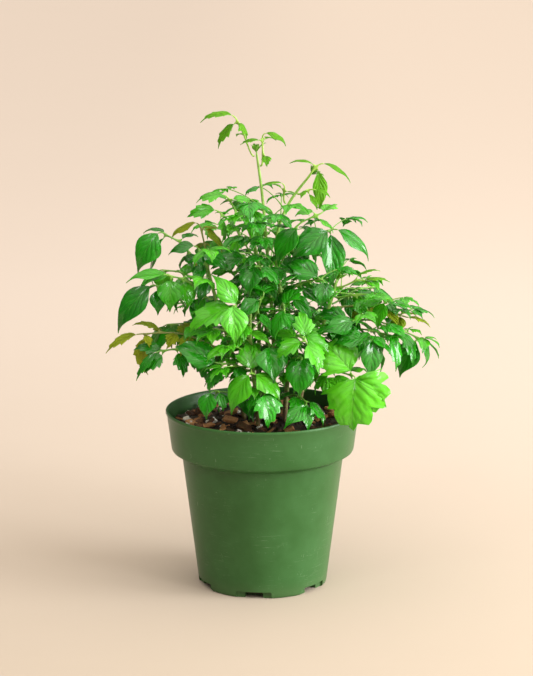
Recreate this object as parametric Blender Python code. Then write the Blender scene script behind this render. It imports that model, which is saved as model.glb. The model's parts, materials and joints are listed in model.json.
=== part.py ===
"""A young china doll plant growing in a round plastic nursery pot.

Lengths in this file are millimetres and angles are degrees; meshes are made in metres.
The origin is the middle of the pot's flat foot, +Z is up and -Y is the front.

A heading is a compass bearing seen from above: 0 points to the front (-Y), 90 to the right (+X),
180 to the back and -90 to the left. A dip is the angle below the horizon.
"""

import math
from dataclasses import dataclass

import bmesh
import bpy
from mathutils import Matrix, Vector, noise
from mathutils.bvhtree import BVHTree

MM = 0.001
SEAT_GAP = 0.3

# The pot, turned about Z.
POT_HEIGHT = 140.0
RIM_RADIUS = 76.2
RIM_BEAD = 0.8
BEAD_HEIGHT = 2.6
WALL = 1.6
FLOOR = 1.8
FOOT_RADIUS = RIM_RADIUS - 25.5
FOOT_ROUND = 1.2
COLLAR_HEIGHT = 31.2
COLLAR_FOOT_RADIUS = RIM_RADIUS - 4.5
SHELF_DROP = 4.8
NECK_RADIUS = RIM_RADIUS - 12.6
POT_SEGMENTS = 64

# The drain notches round the foot.
NOTCHES = 6
FIRST_NOTCH = -8.0
NOTCH_WIDTH = 28.0
NOTCH_HEIGHT = 5.4
NOTCH_DEPTH = 3.4
DRAIN_WIDTH = 14.0
DRAIN_DEPTH = 10.0

# The potting mix.
SOIL_BELOW_RIM = 11.0
SOIL_SEGMENTS = 32
SOIL_SLACK = 0.4
SOIL_FLAT_RADIUS = 33.0
SOIL_RINGS = (14.0, SOIL_FLAT_RADIUS, 42.0, 52.0, 61.0)
SOIL_LUMP = 1.6
SOIL_LUMP_SCALE = 0.09

# Stems, stalks and blades.
STEM_SIDES = 6
STALK_RADIUS = 1.0
STALK_TIP_RADIUS = 0.62
STALK_STEP = 16.0
PAIR_SPACING = 12.0
FIRST_PAIR = 4.0
PETIOLULE = 3.2
BLADE_THICKNESS = 0.7
BLADE_WIDTH = 0.56
BLADE_FOLD = 16.0
BLADE_BEND = 13.0
BASE_SHARE = 0.25
MIDDLE_SHARE = 0.35
CLEARANCE = 0.4
STUB = 3.0

# The plain pairs of leaflets nearer the stem.
INNER_SPREAD = 70.0
INNER_DIP = 8.0
INNER_DIP_STEP = 16.0
INNER_TURN = 20.0
INNER_GROWTH = 0.16

# The ways a stalk is laid, tried in turn: how far its middle is lifted and how far it swings sideways.
STALK_LAYS = ((0.1, 0.0), (0.18, 0.06), (0.04, -0.08), (0.22, -0.12), (0.1, 0.16), (0.3, 0.1), (-0.04, 0.2),
              (0.14, -0.22), (0.34, -0.2))

# The plant's heights below are for a pot whose mix lies at this height.
PLANTED_AT = 129.0

# Where a leaflet is blocked, these changes are tried: to its heading, to its dip and to its size.
HEADING_CHANGES = (0, 9, -9, 20, -20, 34, -34, 50, -50)
DIP_CHANGES = (0, 9, -9, 20, -20, 34, -34)
SIZE_CHANGES = (1.0, 0.88, 0.74, 0.6)


@dataclass
class Stem:
    """One seedling's stem: points up its middle, and its radius at the soil and at the top."""

    name: str
    points: tuple
    foot_radius: float = 2.3
    top_radius: float = 1.3


@dataclass
class Leaf:
    """One compound leaf.

    It leaves its stem at a height, and its stalk ends where the end leaflet joins. Leaflets are
    (length, heading, dip, turn, width): the end one first, then down the stalk from its tip. Turn is
    how far the upper face is turned to the front, and width 0 takes the usual share of the length.
    inner_pairs is the number of plain pairs nearer the stem.
    """

    name: str
    stem: str
    height: float
    end: tuple
    leaflets: tuple
    inner_pairs: int = 1
    inner_length: float = 19.0
    age: str = "mature"


SOIL_TOP = POT_HEIGHT - SOIL_BELOW_RIM
STEM_FOOT = SOIL_TOP + SEAT_GAP
LIFT = Vector((0, 0, SOIL_TOP - PLANTED_AT))

STEMS = (
    Stem("stem_tall", ((7, 3), (9, 5, 180), (6, 5, 235), (3, 2, 270), (0, 0, 308), (-5, 0, 344)), 2.3, 1.0),
    Stem("stem_sprig", ((17, -4), (20, -4, 190), (13, -3, 240), (10, -2, 275), (20, -3, 304), (38, -4, 327)), 2.4, 1.0),
    Stem("stem_west", ((-14, 5), (-22, 8, 175), (-36, 4, 225), (-45, -4, 262)), 2.3, 1.4),
    Stem("stem_upper_left", ((-5, 12), (-3, 12, 190), (-3, 10, 255), (-17, 6, 296)), 2.2, 1.3),
    Stem("stem_front", ((-3, -20), (-6, -26, 165), (-10, -30, 210), (-9, -30, 226)), 2.2, 1.3),
    Stem("stem_east", ((26, 8), (36, 6, 175), (50, 2, 215), (58, 0, 244)), 2.4, 1.4),
    Stem("stem_back", ((5, 26), (4, 28, 185), (-1, 34, 235), (-2, 36, 268)), 2.3, 1.2),
)

LEAVES = (
    # The light crown of the tall stem and of the sprig on its right.
    Leaf("leaf_crown_left", "stem_tall", 340, (-21, -2, 370),
         ((26, -95, -4, 15, 11), (23, -80, 42, 20, 12), (14, 60, 45, 0, 10), (12, -150, -5, 0, 6)), 0, age="young"),
    Leaf("leaf_crown_right", "stem_tall", 332, (0, -6, 357),
         ((19, 75, 12, 20, 9), (15, -85, -3, 15, 6), (13, 140, -5, 0, 8), (11, 10, 25, 0, 7)), 0, age="young"),
    Leaf("leaf_sprig_top", "stem_sprig", 322, (44, -9, 335),
         ((26, 85, 20, 15, 9), (32, 60, 72, 40, 13), (18, -85, -18, 10, 7), (13, -70, 8, 20, 6), (9, 160, -20, 0, 5)),
         0, age="young"),
    Leaf("leaf_sprig_left", "stem_sprig", 303, (17, -8, 318),
         ((17, -85, -8, 10, 6), (8, -110, -35, 0, 4), (7, 60, -5, 0, 4)), 0, age="young"),
    Leaf("leaf_sprig_right", "stem_sprig", 312, (38, -14, 316),
         ((13, 85, 15, 20, 6), (14, 55, 45, 20, 6), (9, -30, 20, 0, 5)), 0, age="young"),
    # The upper left.
    Leaf("leaf_upper_left", "stem_upper_left", 290, (-28, -2, 309),
         ((23, -95, 2, 25, 14), (13, -125, -30, 0, 8), (16, 95, 0, 20, 11), (14, -10, 12, 0, 9)), 1, 13, age="fresh"),
    Leaf("leaf_upper_middle", "stem_tall", 282, (-6, -14, 301),
         ((25, 12, 60, 0, 17), (22, 52, 50, 0, 16), (17, -95, 2, 20, 10), (18, 95, -5, 15, 9)), 1, 15, age="fresh"),
    Leaf("leaf_upper_left_low", "stem_upper_left", 262, (-34, -6, 298),
         ((24, -92, 4, 45, 12), (21, 40, 60, -30, 13), (14, 170, -5, 0, 9)), 2, 15, age="fresh"),
    Leaf("leaf_left_back", "stem_west", 250, (-49, 5, 286),
         ((25, -95, 18, 20, 10), (25, 75, 38, 0, 18), (18, 110, -6, 0, 9), (18, -160, 10, 0, 11)), 1, 15, age="olive"),
    Leaf("leaf_left_far", "stem_west", 256, (-78, -8, 282),
         ((36, -66, 50, 45, 23), (40, -95, 50, 15, 16), (19, -115, -14, 0, 12), (15, 125, -20, 0, 12)), 3, 17),
    Leaf("leaf_left_middle", "stem_west", 244, (-50, -17, 272),
         ((23, -95, 8, 35, 13), (26, 80, 24, 40, 15), (14, 10, 45, 0, 8)), 3, 20),
    Leaf("leaf_middle_back", "stem_tall", 236, (-12, -12, 262),
         ((28, -85, 6, 40, 17), (22, 40, 45, 0, 14), (22, -25, 45, 0, 15), (22, 100, 10, 0, 14)), 3, 21),
    # The left side.
    Leaf("leaf_left_row", "stem_west", 228, (-73, -22, 251),
         ((31, -88, -2, 25, 14), (25, 0, 58, 0, 21), (20, -85, 25, 30, 12), (17, 150, -42, 0, 13), (21, 38, 52, 0, 18)), 4, 18, age="fresh"),
    Leaf("leaf_left_low", "stem_west", 214, (-84, -20, 243),
         ((47, -72, 43, 45, 22), (17, -110, 25, 0, 11), (20, 15, 60, 0, 14), (20, 100, 30, 0, 13)), 5, 20),
    Leaf("leaf_left_young", "stem_west", 186, (-95, -14, 203),
         ((29, -88, 18, 20, 12), (31, -30, 76, 0, 16), (12, 20, 60, 0, 7), (21, -80, -6, 20, 8), (11, -160, -20, 0, 6)), 4, 18, age="olive"),
    Leaf("leaf_left_serrate", "stem_west", 178, (-80, -26, 192),
         ((27, -68, 42, 30, 8), (22, -90, -5, 40, 12), (20, -60, 30, 40, 13), (20, 40, 50, 0, 14)), 4, 20),
    # The front, from left to right.
    Leaf("leaf_front_left", "stem_front", 205, (-22, -48, 233),
         ((31, 10, 54, 0, 22), (39, -62, 34, 25, 26), (30, -92, -22, 55, 18), (17, 140, -40, 0, 12)), 2, 20, age="fresh"),
    Leaf("leaf_front_left_dark", "stem_front", 178, (-34, -42, 186),
         ((34, -82, -32, 60, 20), (22, -55, 42, 0, 18), (18, -95, 12, 0, 13), (16, 20, 40, 0, 11)), 1, 16),
    Leaf("leaf_rim_left", "stem_front", 150, (-38, -44, 165),
         ((21, -35, 58, 0, 18), (17, -95, 25, 20, 10), (15, 30, 45, 0, 10)), 2, 16),
    Leaf("leaf_low_front", "stem_front", 166, (-9, -52, 181),
         ((34, -62, 52, 20, 24), (28, 64, 30, 25, 18), (33, -175, -66, 0, 28), (16, 120, -10, 0, 10)), 3, 19, age="fresh"),
    Leaf("leaf_low_front_right", "stem_front", 156, (1, -53, 166),
         ((26, 25, 56, 0, 21), (16, 70, 45, 0, 13), (18, -40, 30, 0, 11)), 3, 20),
    Leaf("leaf_upper_centre", "stem_tall", 238, (-5, -30, 260),
         ((24, -25, 46, 0, 20), (22, 55, 38, 0, 17), (20, -85, 14, 30, 14), (20, 88, 10, 30, 14), (18, -60, 40, 0, 13)),
         1, 19),
    Leaf("leaf_centre", "stem_front", 218, (1, -42, 239),
         ((25, -140, -45, 0, 20), (21, 175, -50, 0, 16), (21, -72, 12, 30, 16), (18, 60, 20, 0, 13)), 1, 18),
    Leaf("leaf_centre_low", "stem_tall", 205, (17, -44, 229),
         ((23, -48, 48, 0, 18), (22, 128, -42, 0, 18), (18, 50, 40, 0, 13), (18, -100, -5, 0, 10)), 4, 22),
    Leaf("leaf_centre_dark", "stem_tall", 182, (5, -36, 199),
         ((29, 18, 48, 0, 26), (24, -58, 42, 0, 18), (22, 80, 28, 0, 16)), 4, 22),
    Leaf("leaf_star", "stem_sprig", 196, (33, -58, 206),
         ((25, 40, 42, 0, 18), (23, -75, 20, 30, 16), (24, -172, -62, 0, 15), (23, 80, 22, 30, 17),
          (20, -115, -16, 20, 13), (18, 115, -20, 20, 12)), 3, 20, age="fresh"),
    Leaf("leaf_star_low", "stem_sprig", 178, (30, -48, 192),
         ((28, -18, 54, 0, 21), (24, 35, 50, 0, 16), (18, -80, 20, 0, 12)), 3, 20),
    Leaf("leaf_rim_right", "stem_sprig", 152, (34, -48, 156),
         ((25, -55, 28, 35, 15), (22, 60, 35, 0, 15), (22, 10, 40, 0, 12)), 3, 18),
    Leaf("leaf_front_right", "stem_east", 160, (70, -50, 178),
         ((41, -18, 64, 0, 38), (29, 80, 42, 35, 22), (34, -118, -46, 45, 27), (24, 130, -10, 0, 15)), 3, 22, age="fresh"),
    # The right side.
    Leaf("leaf_right_shade", "stem_east", 188, (82, -38, 205),
         ((31, 12, 78, -20, 21), (24, -80, 2, 45, 16), (22, 70, 30, 0, 13), (20, -150, -10, 0, 12)), 3, 22),
    Leaf("leaf_right_inner", "stem_east", 204, (70, -30, 217),
         ((27, -60, 8, 50, 17), (25, -100, -18, 40, 15), (22, 30, 45, 0, 14), (20, 90, 10, 0, 13)), 3, 22),
    Leaf("leaf_right_hanging", "stem_east", 200, (97, -22, 204),
         ((27, 45, 60, 0, 14), (20, -40, 48, 0, 13), (20, 110, 20, 0, 12)), 5, 21),
    Leaf("leaf_right_far", "stem_east", 212, (124, -12, 198),
         ((21, 60, 74, 0, 10), (33, -72, 58, 50, 21), (24, 100, 30, 0, 12), (23, -125, -28, 30, 13), (28, 10, 62, 0, 11)), 5, 20),
    Leaf("leaf_right_far_top", "stem_east", 222, (111, -2, 214),
         ((19, 90, 8, 0, 12), (18, -20, 50, 0, 13), (18, 130, 5, 0, 11), (17, 40, 35, 0, 11)), 5, 19, age="olive"),
    Leaf("leaf_right_upper", "stem_east", 230, (98, -16, 230),
         ((19, 95, 12, 20, 9), (22, -40, 58, 0, 15), (20, -85, 5, 30, 13), (19, 140, 0, 0, 11)), 4, 20, age="fresh"),
    Leaf("leaf_right_feathery", "stem_east", 238, (76, -8, 244),
         ((20, 88, -12, 15, 6), (19, 80, -32, 10, 6), (18, 98, 10, 15, 6), (20, -30, 45, 0, 12), (17, -95, -5, 20, 9),
          (17, 150, -10, 0, 7)), 1, 15, age="young"),
    Leaf("leaf_upper_right", "stem_sprig", 262, (55, -18, 286),
         ((37, 86, 32, 35, 15), (45, 22, 72, 0, 20), (37, -72, 27, 50, 23), (27, 62, 42, 0, 9), (17, 150, -5, 0, 10)), 3, 19),
    Leaf("leaf_upper_right_back", "stem_sprig", 274, (45, 0, 295),
         ((17, 150, -25, 0, 15), (16, 72, 22, 0, 10), (15, -90, -4, 15, 10), (20, -150, 0, 0, 12)), 1, 15, age="fresh"),
    Leaf("leaf_upper_dark", "stem_sprig", 256, (27, -20, 288),
         ((34, -58, 46, 15, 23), (19, -92, -4, 10, 7), (20, -100, -16, 10, 9), (16, 60, 30, 0, 10)), 1, 17),
    Leaf("leaf_centre_right", "stem_sprig", 232, (46, -38, 250),
         ((19, -10, 48, 0, 17), (28, -104, -28, 55, 16), (23, 172, -62, 0, 13), (22, 80, 25, 0, 14)), 3, 22),
    # The back.
    Leaf("leaf_back_top", "stem_back", 262, (-8, 52, 294),
         ((30, 175, 15, 0, 17), (26, 120, 20, 0, 15), (26, -120, 18, 0, 15), (20, 80, 5, 0, 12), (20, -80, 5, 0, 12)), 2, 20, age="fresh"),
    Leaf("leaf_back_right", "stem_back", 240, (30, 62, 268),
         ((34, 145, 35, 0, 20), (28, 95, 25, 0, 16), (28, -165, 35, 0, 17), (22, 80, 0, 0, 13), (22, -130, 10, 0, 13)), 3, 23),
    Leaf("leaf_back_left", "stem_back", 236, (-38, 58, 264),
         ((34, -150, 35, 0, 21), (28, -95, 25, 0, 17), (28, 165, 35, 0, 17), (22, -70, 5, 0, 13), (22, 130, 10, 0, 13)), 3, 23),
    Leaf("leaf_back_middle", "stem_back", 214, (2, 74, 236),
         ((36, 178, 45, 0, 22), (30, 125, 35, 0, 18), (30, -125, 35, 0, 18), (24, 90, 15, 0, 14), (24, -90, 15, 0, 14)), 3, 24),
    Leaf("leaf_back_right_low", "stem_back", 190, (48, 70, 206),
         ((36, 140, 45, 0, 21), (30, 85, 35, 0, 17), (30, -170, 40, 0, 18), (24, 70, 15, 0, 14), (24, -140, 20, 0, 14)), 4, 24),
    Leaf("leaf_back_left_low", "stem_back", 178, (-50, 64, 200),
         ((36, -142, 45, 0, 22), (30, -88, 35, 0, 17), (30, 172, 40, 0, 18), (24, -70, 15, 0, 14), (24, 140, 20, 0, 14)), 4, 24),
    Leaf("leaf_east_back", "stem_east", 224, (88, 28, 232),
         ((32, 110, 40, 0, 18), (26, 60, 30, 0, 15), (26, 165, 35, 0, 16), (22, 30, 10, 0, 12), (22, -170, 10, 0, 12)), 3, 22),
    Leaf("leaf_east_back_low", "stem_east", 184, (82, 34, 190),
         ((32, 115, 48, 0, 19), (26, 60, 38, 0, 15), (26, 170, 38, 0, 16), (20, 30, 20, 0, 12)), 4, 22),
    Leaf("leaf_west_back", "stem_west", 236, (-80, 26, 246),
         ((32, -112, 38, 0, 18), (26, -60, 30, 0, 15), (26, -165, 35, 0, 16), (22, 170, 10, 0, 12)), 3, 22, age="fresh"),
    Leaf("leaf_west_back_low", "stem_west", 196, (-76, 36, 200),
         ((32, -120, 46, 0, 19), (26, -65, 36, 0, 15), (26, -172, 36, 0, 16), (20, 150, 15, 0, 12)), 4, 22),
    Leaf("leaf_crown_back", "stem_upper_left", 278, (-12, 28, 300),
         ((22, 160, 5, 0, 13), (20, 100, 8, 0, 12), (20, -120, 8, 0, 12), (16, -70, 0, 0, 9)), 1, 16, age="fresh"),
)

# Node colours, roughness and metallic value.
COLOURS = {
    "pot": (0.055, 0.16, 0.055, 0.45),
    "soil": (0.035, 0.018, 0.009, 0.95),
    "stem": (0.16, 0.22, 0.05, 0.6),
    "mature": (0.02, 0.16, 0.025, 0.3),
    "fresh": (0.05, 0.3, 0.03, 0.35),
    "young": (0.12, 0.38, 0.04, 0.4),
    "olive": (0.16, 0.26, 0.025, 0.45),
}


# ---------------------------------------------------------------- general helpers


def clear_scene():
    for obj in list(bpy.data.objects):
        bpy.data.objects.remove(obj)


def material_for(kind):
    """The Principled material of one kind of piece, made the first time it is asked for."""
    found = bpy.data.materials.get(kind)
    if found:
        return found
    made = bpy.data.materials.new(kind)
    made.use_nodes = True
    red, green, blue, roughness = COLOURS[kind]
    shader = made.node_tree.nodes["Principled BSDF"]
    shader.inputs["Base Color"].default_value = (red, green, blue, 1.0)
    shader.inputs["Roughness"].default_value = roughness
    shader.inputs["Metallic"].default_value = 0.0
    return made


def face_outwards(bm):
    bmesh.ops.recalc_face_normals(bm, faces=bm.faces)
    if bm.calc_volume(signed=True) < 0:
        bmesh.ops.reverse_faces(bm, faces=bm.faces)


def add_object(name, bm, kind, smooth=None):
    """Puts a millimetre bmesh into the scene as a named object in metres."""
    face_outwards(bm)
    bmesh.ops.scale(bm, vec=(MM, MM, MM), verts=bm.verts)
    mesh = bpy.data.meshes.new(name)
    bm.to_mesh(mesh)
    bm.free()
    mesh.materials.append(material_for(kind))
    if smooth is not None:
        mesh.shade_smooth()
        mesh.set_sharp_from_angle(angle=math.radians(smooth))
    obj = bpy.data.objects.new(name, mesh)
    bpy.context.scene.collection.objects.link(obj)
    return obj


def turned(profile, segments):
    """A solid turned about Z from (radius, height) points that start and end on the axis."""
    bm = bmesh.new()
    verts = [bm.verts.new((radius, 0, height)) for radius, height in profile]
    edges = [bm.edges.new(pair) for pair in zip(verts, verts[1:])]
    bmesh.ops.spin(bm, geom=verts + edges, cent=(0, 0, 0), axis=(0, 0, 1), angle=math.tau,
                   steps=segments, use_merge=True, use_duplicate=False)
    bmesh.ops.remove_doubles(bm, verts=bm.verts, dist=0.001)
    return bm


def heading_vector(heading):
    """The level unit vector of a heading."""
    angle = math.radians(heading)
    return Vector((math.sin(angle), -math.cos(angle), 0))


# ---------------------------------------------------------------- pot and potting mix


def body_radius(height):
    """The outer radius of the tapered body at a height below its neck."""
    share = height / (POT_HEIGHT - COLLAR_HEIGHT - SHELF_DROP)
    return FOOT_RADIUS + (NECK_RADIUS - FOOT_RADIUS) * share


def pot_inside():
    """The inside of the pot's section, from under the rim's bead down to the middle of the floor."""
    collar_foot = POT_HEIGHT - COLLAR_HEIGHT
    neck = collar_foot - SHELF_DROP
    return [
        (RIM_RADIUS - RIM_BEAD - WALL, POT_HEIGHT - BEAD_HEIGHT), (COLLAR_FOOT_RADIUS - WALL, collar_foot + 1.4),
        (NECK_RADIUS - WALL, neck + 0.8), (body_radius(FLOOR) - WALL, FLOOR), (0, FLOOR),
    ]


def pot_outline():
    """The pot's section: out along the foot, up the outside, over the rim and down the inside."""
    collar_foot = POT_HEIGHT - COLLAR_HEIGHT
    bead_foot = POT_HEIGHT - BEAD_HEIGHT
    outside = [
        (0, 0), (FOOT_RADIUS - FOOT_ROUND, 0), (body_radius(FOOT_ROUND), FOOT_ROUND),
        (NECK_RADIUS, collar_foot - SHELF_DROP), (COLLAR_FOOT_RADIUS - 1.2, collar_foot - 0.9),
        (COLLAR_FOOT_RADIUS, collar_foot + 0.8), (RIM_RADIUS - RIM_BEAD, bead_foot), (RIM_RADIUS, bead_foot + 0.5),
        (RIM_RADIUS, POT_HEIGHT - 0.6), (RIM_RADIUS - 0.6, POT_HEIGHT), (RIM_RADIUS - WALL + 0.2, POT_HEIGHT),
    ]
    return outside + pot_inside()


def soil_outline():
    """The mix's section: out along the pot's floor and up its inside wall, to the top of the mix."""
    wall = [(max(0, radius - SOIL_SLACK), height + SEAT_GAP) for radius, height in reversed(pot_inside())]
    (low_radius, low), (high_radius, high) = wall[-2:]
    edge = low_radius + (high_radius - low_radius) * (SOIL_TOP - low) / (high - low)
    return wall[:-1] + [(edge, SOIL_TOP)]


def notch_cutter():
    """Six pairs of blocks: each opens the foot of the wall and the edge of the floor behind it."""
    bm = bmesh.new()
    cuts = (
        (NOTCH_WIDTH, FOOT_RADIUS - NOTCH_DEPTH, NOTCH_HEIGHT),
        (DRAIN_WIDTH, FOOT_RADIUS - DRAIN_DEPTH, NOTCH_HEIGHT - 0.7),
    )
    for number in range(NOTCHES):
        turn = Matrix.Rotation(math.radians(FIRST_NOTCH + number * 360 / NOTCHES), 4, "Z")
        for width, inner, height in cuts:
            outer = FOOT_RADIUS + 6
            shape = Matrix.LocRotScale(
                Vector((0, -(inner + outer) / 2, height / 2 - 1)), None, Vector((width, outer - inner, height + 2)))
            bmesh.ops.create_cube(bm, size=1.0, matrix=turn @ shape)
    return bm


def build_pot(clearing):
    body = turned(pot_outline(), POT_SEGMENTS)
    clearing.add(body)
    pot = add_object("pot", body, "pot", smooth=28)
    cutter = add_object("notch_cutter", notch_cutter(), "pot")
    cutter.hide_render = True
    cutter.display_type = "WIRE"
    cut = pot.modifiers.new("drain_notches", "BOOLEAN")
    cut.operation = "DIFFERENCE"
    cut.solver = "EXACT"
    cut.use_self = True
    cut.object = cutter


def soil_height(x, y):
    """The lumpy top of the mix, flat where the stems stand."""
    away = max(0.0, math.hypot(x, y) - SOIL_FLAT_RADIUS)
    fade = min(1.0, away / 8)
    lump = noise.noise(Vector((x, y, 0)) * SOIL_LUMP_SCALE)
    return SOIL_TOP + SOIL_LUMP * fade * lump


def build_soil(clearing):
    outline = soil_outline()
    edge = outline[-1][0]
    rings = [radius for radius in SOIL_RINGS if radius < edge - 4]
    bm = turned(outline + [(radius, SOIL_TOP) for radius in reversed(rings)] + [(0, SOIL_TOP)], SOIL_SEGMENTS)
    for vert in bm.verts:
        if vert.co.z > SOIL_TOP - 0.01 and math.hypot(vert.co.x, vert.co.y) < edge - 1:
            vert.co.z = soil_height(vert.co.x, vert.co.y)
    clearing.add(bm)
    add_object("soil", bm, "soil")


# ---------------------------------------------------------------- tubes


def smooth_path(points, step):
    """A curve through the points, read off about every step millimetres."""
    points = [Vector(point) for point in points]
    ends = [points[0] * 2 - points[1]] + points + [points[-1] * 2 - points[-2]]
    path = [points[0]]
    for before, start, end, after in zip(ends, ends[1:], ends[2:], ends[3:]):
        pieces = max(1, round((end - start).length / step))
        for piece in range(1, pieces + 1):
            t = piece / pieces
            path.append(0.5 * (2 * start + (end - before) * t + (2 * before - 5 * start + 4 * end - after) * t ** 2
                               + (3 * start - before - 3 * end + after) * t ** 3))
    return path


def directions_along(path):
    """The unit direction of a path at each of its points."""
    found = []
    for place in range(len(path)):
        low, high = max(0, place - 1), min(len(path) - 1, place + 1)
        found.append((path[high] - path[low]).normalized())
    return found


def ring(bm, centre, direction, radius, side, sides=4):
    """A ring of vertices round a point of a tube. With four, its flats face side, up and their opposites."""
    up = side.cross(direction).normalized()
    verts = []
    for corner in range(sides):
        angle = math.tau * (corner + 0.5) / sides
        verts.append(bm.verts.new(centre + (side * math.cos(angle) + up * math.sin(angle)) * radius))
    return verts


def join_rings(bm, first, second):
    """Faces between two rings of the same number of vertices, in step."""
    return [bm.faces.new((first[i], first[(i + 1) % len(first)], second[(i + 1) % len(first)], second[i]))
            for i in range(len(first))]


def stem_path(stem):
    foot = Vector((*stem.points[0], STEM_FOOT))
    return smooth_path([foot] + [Vector(point) + LIFT for point in stem.points[1:]], STALK_STEP)


def build_stem(stem, path):
    """A tapered stem that stands on the mix."""
    ways = directions_along(path)
    ways[0] = Vector((0, 0, 1))
    bm = bmesh.new()
    side = Vector((1, 0, 0))
    rings = []
    for place, (centre, way) in enumerate(zip(path, ways)):
        side = (side - way * side.dot(way)).normalized()
        radius = stem_radius(stem, place / (len(path) - 1))
        rings.append(ring(bm, centre, way, radius, side, STEM_SIDES))
    for first, second in zip(rings, rings[1:]):
        join_rings(bm, first, second)
    bm.faces.new(rings[0])
    bm.faces.new(rings[-1])
    return bm


def stem_radius(stem, share):
    return stem.foot_radius + (stem.top_radius - stem.foot_radius) * share


def point_at_height(path, height):
    """(point, share of the way up) where a stem's path passes a height."""
    for place in range(len(path) - 1):
        low, high = path[place], path[place + 1]
        if high.z >= height:
            t = max(0.0, (height - low.z) / (high.z - low.z))
            return low.lerp(high, t), (place + t) / (len(path) - 1)
    return path[-1].copy(), 1.0


# ---------------------------------------------------------------- leaflets


def blade_axes(heading, dip, turn):
    """(direction, normal) of a leaflet's blade."""
    level = heading_vector(heading)
    dip = math.radians(dip)
    direction = level * math.cos(dip) - Vector((0, 0, 1)) * math.sin(dip)
    normal = level * math.sin(dip) + Vector((0, 0, 1)) * math.cos(dip)
    across = direction.cross(normal)
    to_front = 1 if across.y < 0 else -1
    return direction, Matrix.Rotation(math.radians(turn * to_front), 3, direction) @ normal


def blade_rings(base, direction, normal, length, width):
    """Two rings of (left, top, right, bottom) points and the tip of a folded, drooping blade."""
    across = direction.cross(normal).normalized()
    fold = math.tan(math.radians(BLADE_FOLD))
    half = width / 2
    place, way, face = base.copy(), direction.copy(), normal.copy()
    rings = []
    bend = Matrix.Rotation(math.radians(-BLADE_BEND), 3, across)
    for share in (BASE_SHARE, MIDDLE_SHARE):
        place = place + way * length * share
        if share == BASE_SHARE:
            way, face = bend @ way, bend @ face
        raised = face * half * fold
        thick = face * BLADE_THICKNESS / 2
        rings.append([place - across * half + raised, place + thick, place + across * half + raised, place - thick])
    way = bend @ way
    tip = place + way * length * (1 - BASE_SHARE - MIDDLE_SHARE)
    return rings, tip


def add_leaflet(bm, socket, leaflet):
    """Grows a petiolule and a blade out of a ring of four vertices."""
    direction, normal = leaflet.axes
    across = direction.cross(normal).normalized()
    radius = STALK_TIP_RADIUS
    points = (-across, normal, across, -normal)
    neck = [bm.verts.new(leaflet.base + point * radius) for point in points]
    join_rings(bm, matched(socket, neck), neck)
    rings, tip = blade_rings(leaflet.base, direction, normal, leaflet.length, leaflet.width)
    first, second = [[bm.verts.new(point) for point in points] for points in rings]
    left, top, right, bottom = neck
    wide_left, wide_top, wide_right, wide_bottom = first
    for corners in ((left, top, wide_left), (top, wide_top, wide_left), (top, right, wide_right),
                    (top, wide_right, wide_top), (right, bottom, wide_right), (bottom, wide_bottom, wide_right),
                    (bottom, left, wide_left), (bottom, wide_left, wide_bottom)):
        bm.faces.new(corners)
    join_rings(bm, first, second)
    end = bm.verts.new(tip)
    for i in range(4):
        bm.faces.new((second[i], second[(i + 1) % 4], end))


def matched(socket, neck):
    """The socket's ring in the order that lies closest to the neck's, so that the tube doesn't twist."""
    middle_a = sum((v.co for v in socket), Vector()) / 4
    middle_b = sum((v.co for v in neck), Vector()) / 4
    best, least = None, None
    for order in (socket, socket[::-1]):
        for shift in range(4):
            tried = order[shift:] + order[:shift]
            apart = sum(((a.co - middle_a) - (b.co - middle_b)).length for a, b in zip(tried, neck))
            if least is None or apart < least:
                best, least = tried, apart
    return best


# ---------------------------------------------------------------- keeping pieces clear of one another


class Clearing:
    """The space already taken, as one small tree of faces for each piece."""

    def __init__(self):
        self.taken = []

    def add(self, bm):
        """Takes the space of a bmesh."""
        bm.verts.index_update()
        verts = [vert.co.copy() for vert in bm.verts]
        faces = [[vert.index for vert in face.verts] for face in bm.faces]
        self.add_shape(verts, faces)

    def add_shape(self, verts, faces):
        """Takes the space of a shape and returns its number."""
        self.taken.append((corners_of(verts), BVHTree.FromPolygons(verts, faces)))
        return len(self.taken) - 1

    def is_clear(self, verts, faces, but=()):
        """Whether a shape touches nothing that is taken, but for the numbered shapes."""
        low, high = corners_of(verts)
        tree = None
        for number, ((other_low, other_high), other) in enumerate(self.taken):
            if number in but:
                continue
            if all(low[i] <= other_high[i] and high[i] >= other_low[i] for i in range(3)):
                tree = tree or BVHTree.FromPolygons(verts, faces)
                if tree.overlap(other):
                    return False
        return True


def corners_of(verts):
    """The lowest and highest corners of the box round some points."""
    return (tuple(min(v[i] for v in verts) for i in range(3)), tuple(max(v[i] for v in verts) for i in range(3)))


def tube_shape(path, radii):
    """A plain square tube round a path, as (verts, faces)."""
    verts, faces = [], []
    side = Vector((0.6, 0.8, 0))
    for centre, way, radius in zip(path, directions_along(path), radii):
        side = (side - way * side.dot(way)).normalized()
        up = side.cross(way)
        verts += [centre + side * radius, centre + up * radius, centre - side * radius, centre - up * radius]
    for first in range(0, len(verts) - 4, 4):
        faces += [(first + i, first + (i + 1) % 4, first + 4 + (i + 1) % 4, first + 4 + i) for i in range(4)]
    faces += [(0, 1, 2, 3), tuple(range(len(verts) - 4, len(verts)))]
    return verts, faces


def blade_shape(base, direction, normal, length, width, margin):
    """A blade with a margin all round it, as (verts, faces)."""
    rings, tip = blade_rings(base, direction, normal, length, width)
    across = direction.cross(normal).normalized()
    verts = [base - direction * margin * 0.5]
    for left, top, right, bottom in rings:
        up = (top - bottom).normalized() * margin
        verts += [left - across * margin + up, top + up, right + across * margin + up,
                  right + across * margin - up, bottom - up, left - across * margin - up]
    verts.append(tip + direction * margin)
    faces = []
    for i in range(6):
        j = (i + 1) % 6
        faces += [(0, 1 + i, 1 + j), (1 + i, 7 + i, 7 + j, 1 + j), (7 + i, 13, 7 + j)]
    return verts, faces


# ---------------------------------------------------------------- compound leaves


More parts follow.
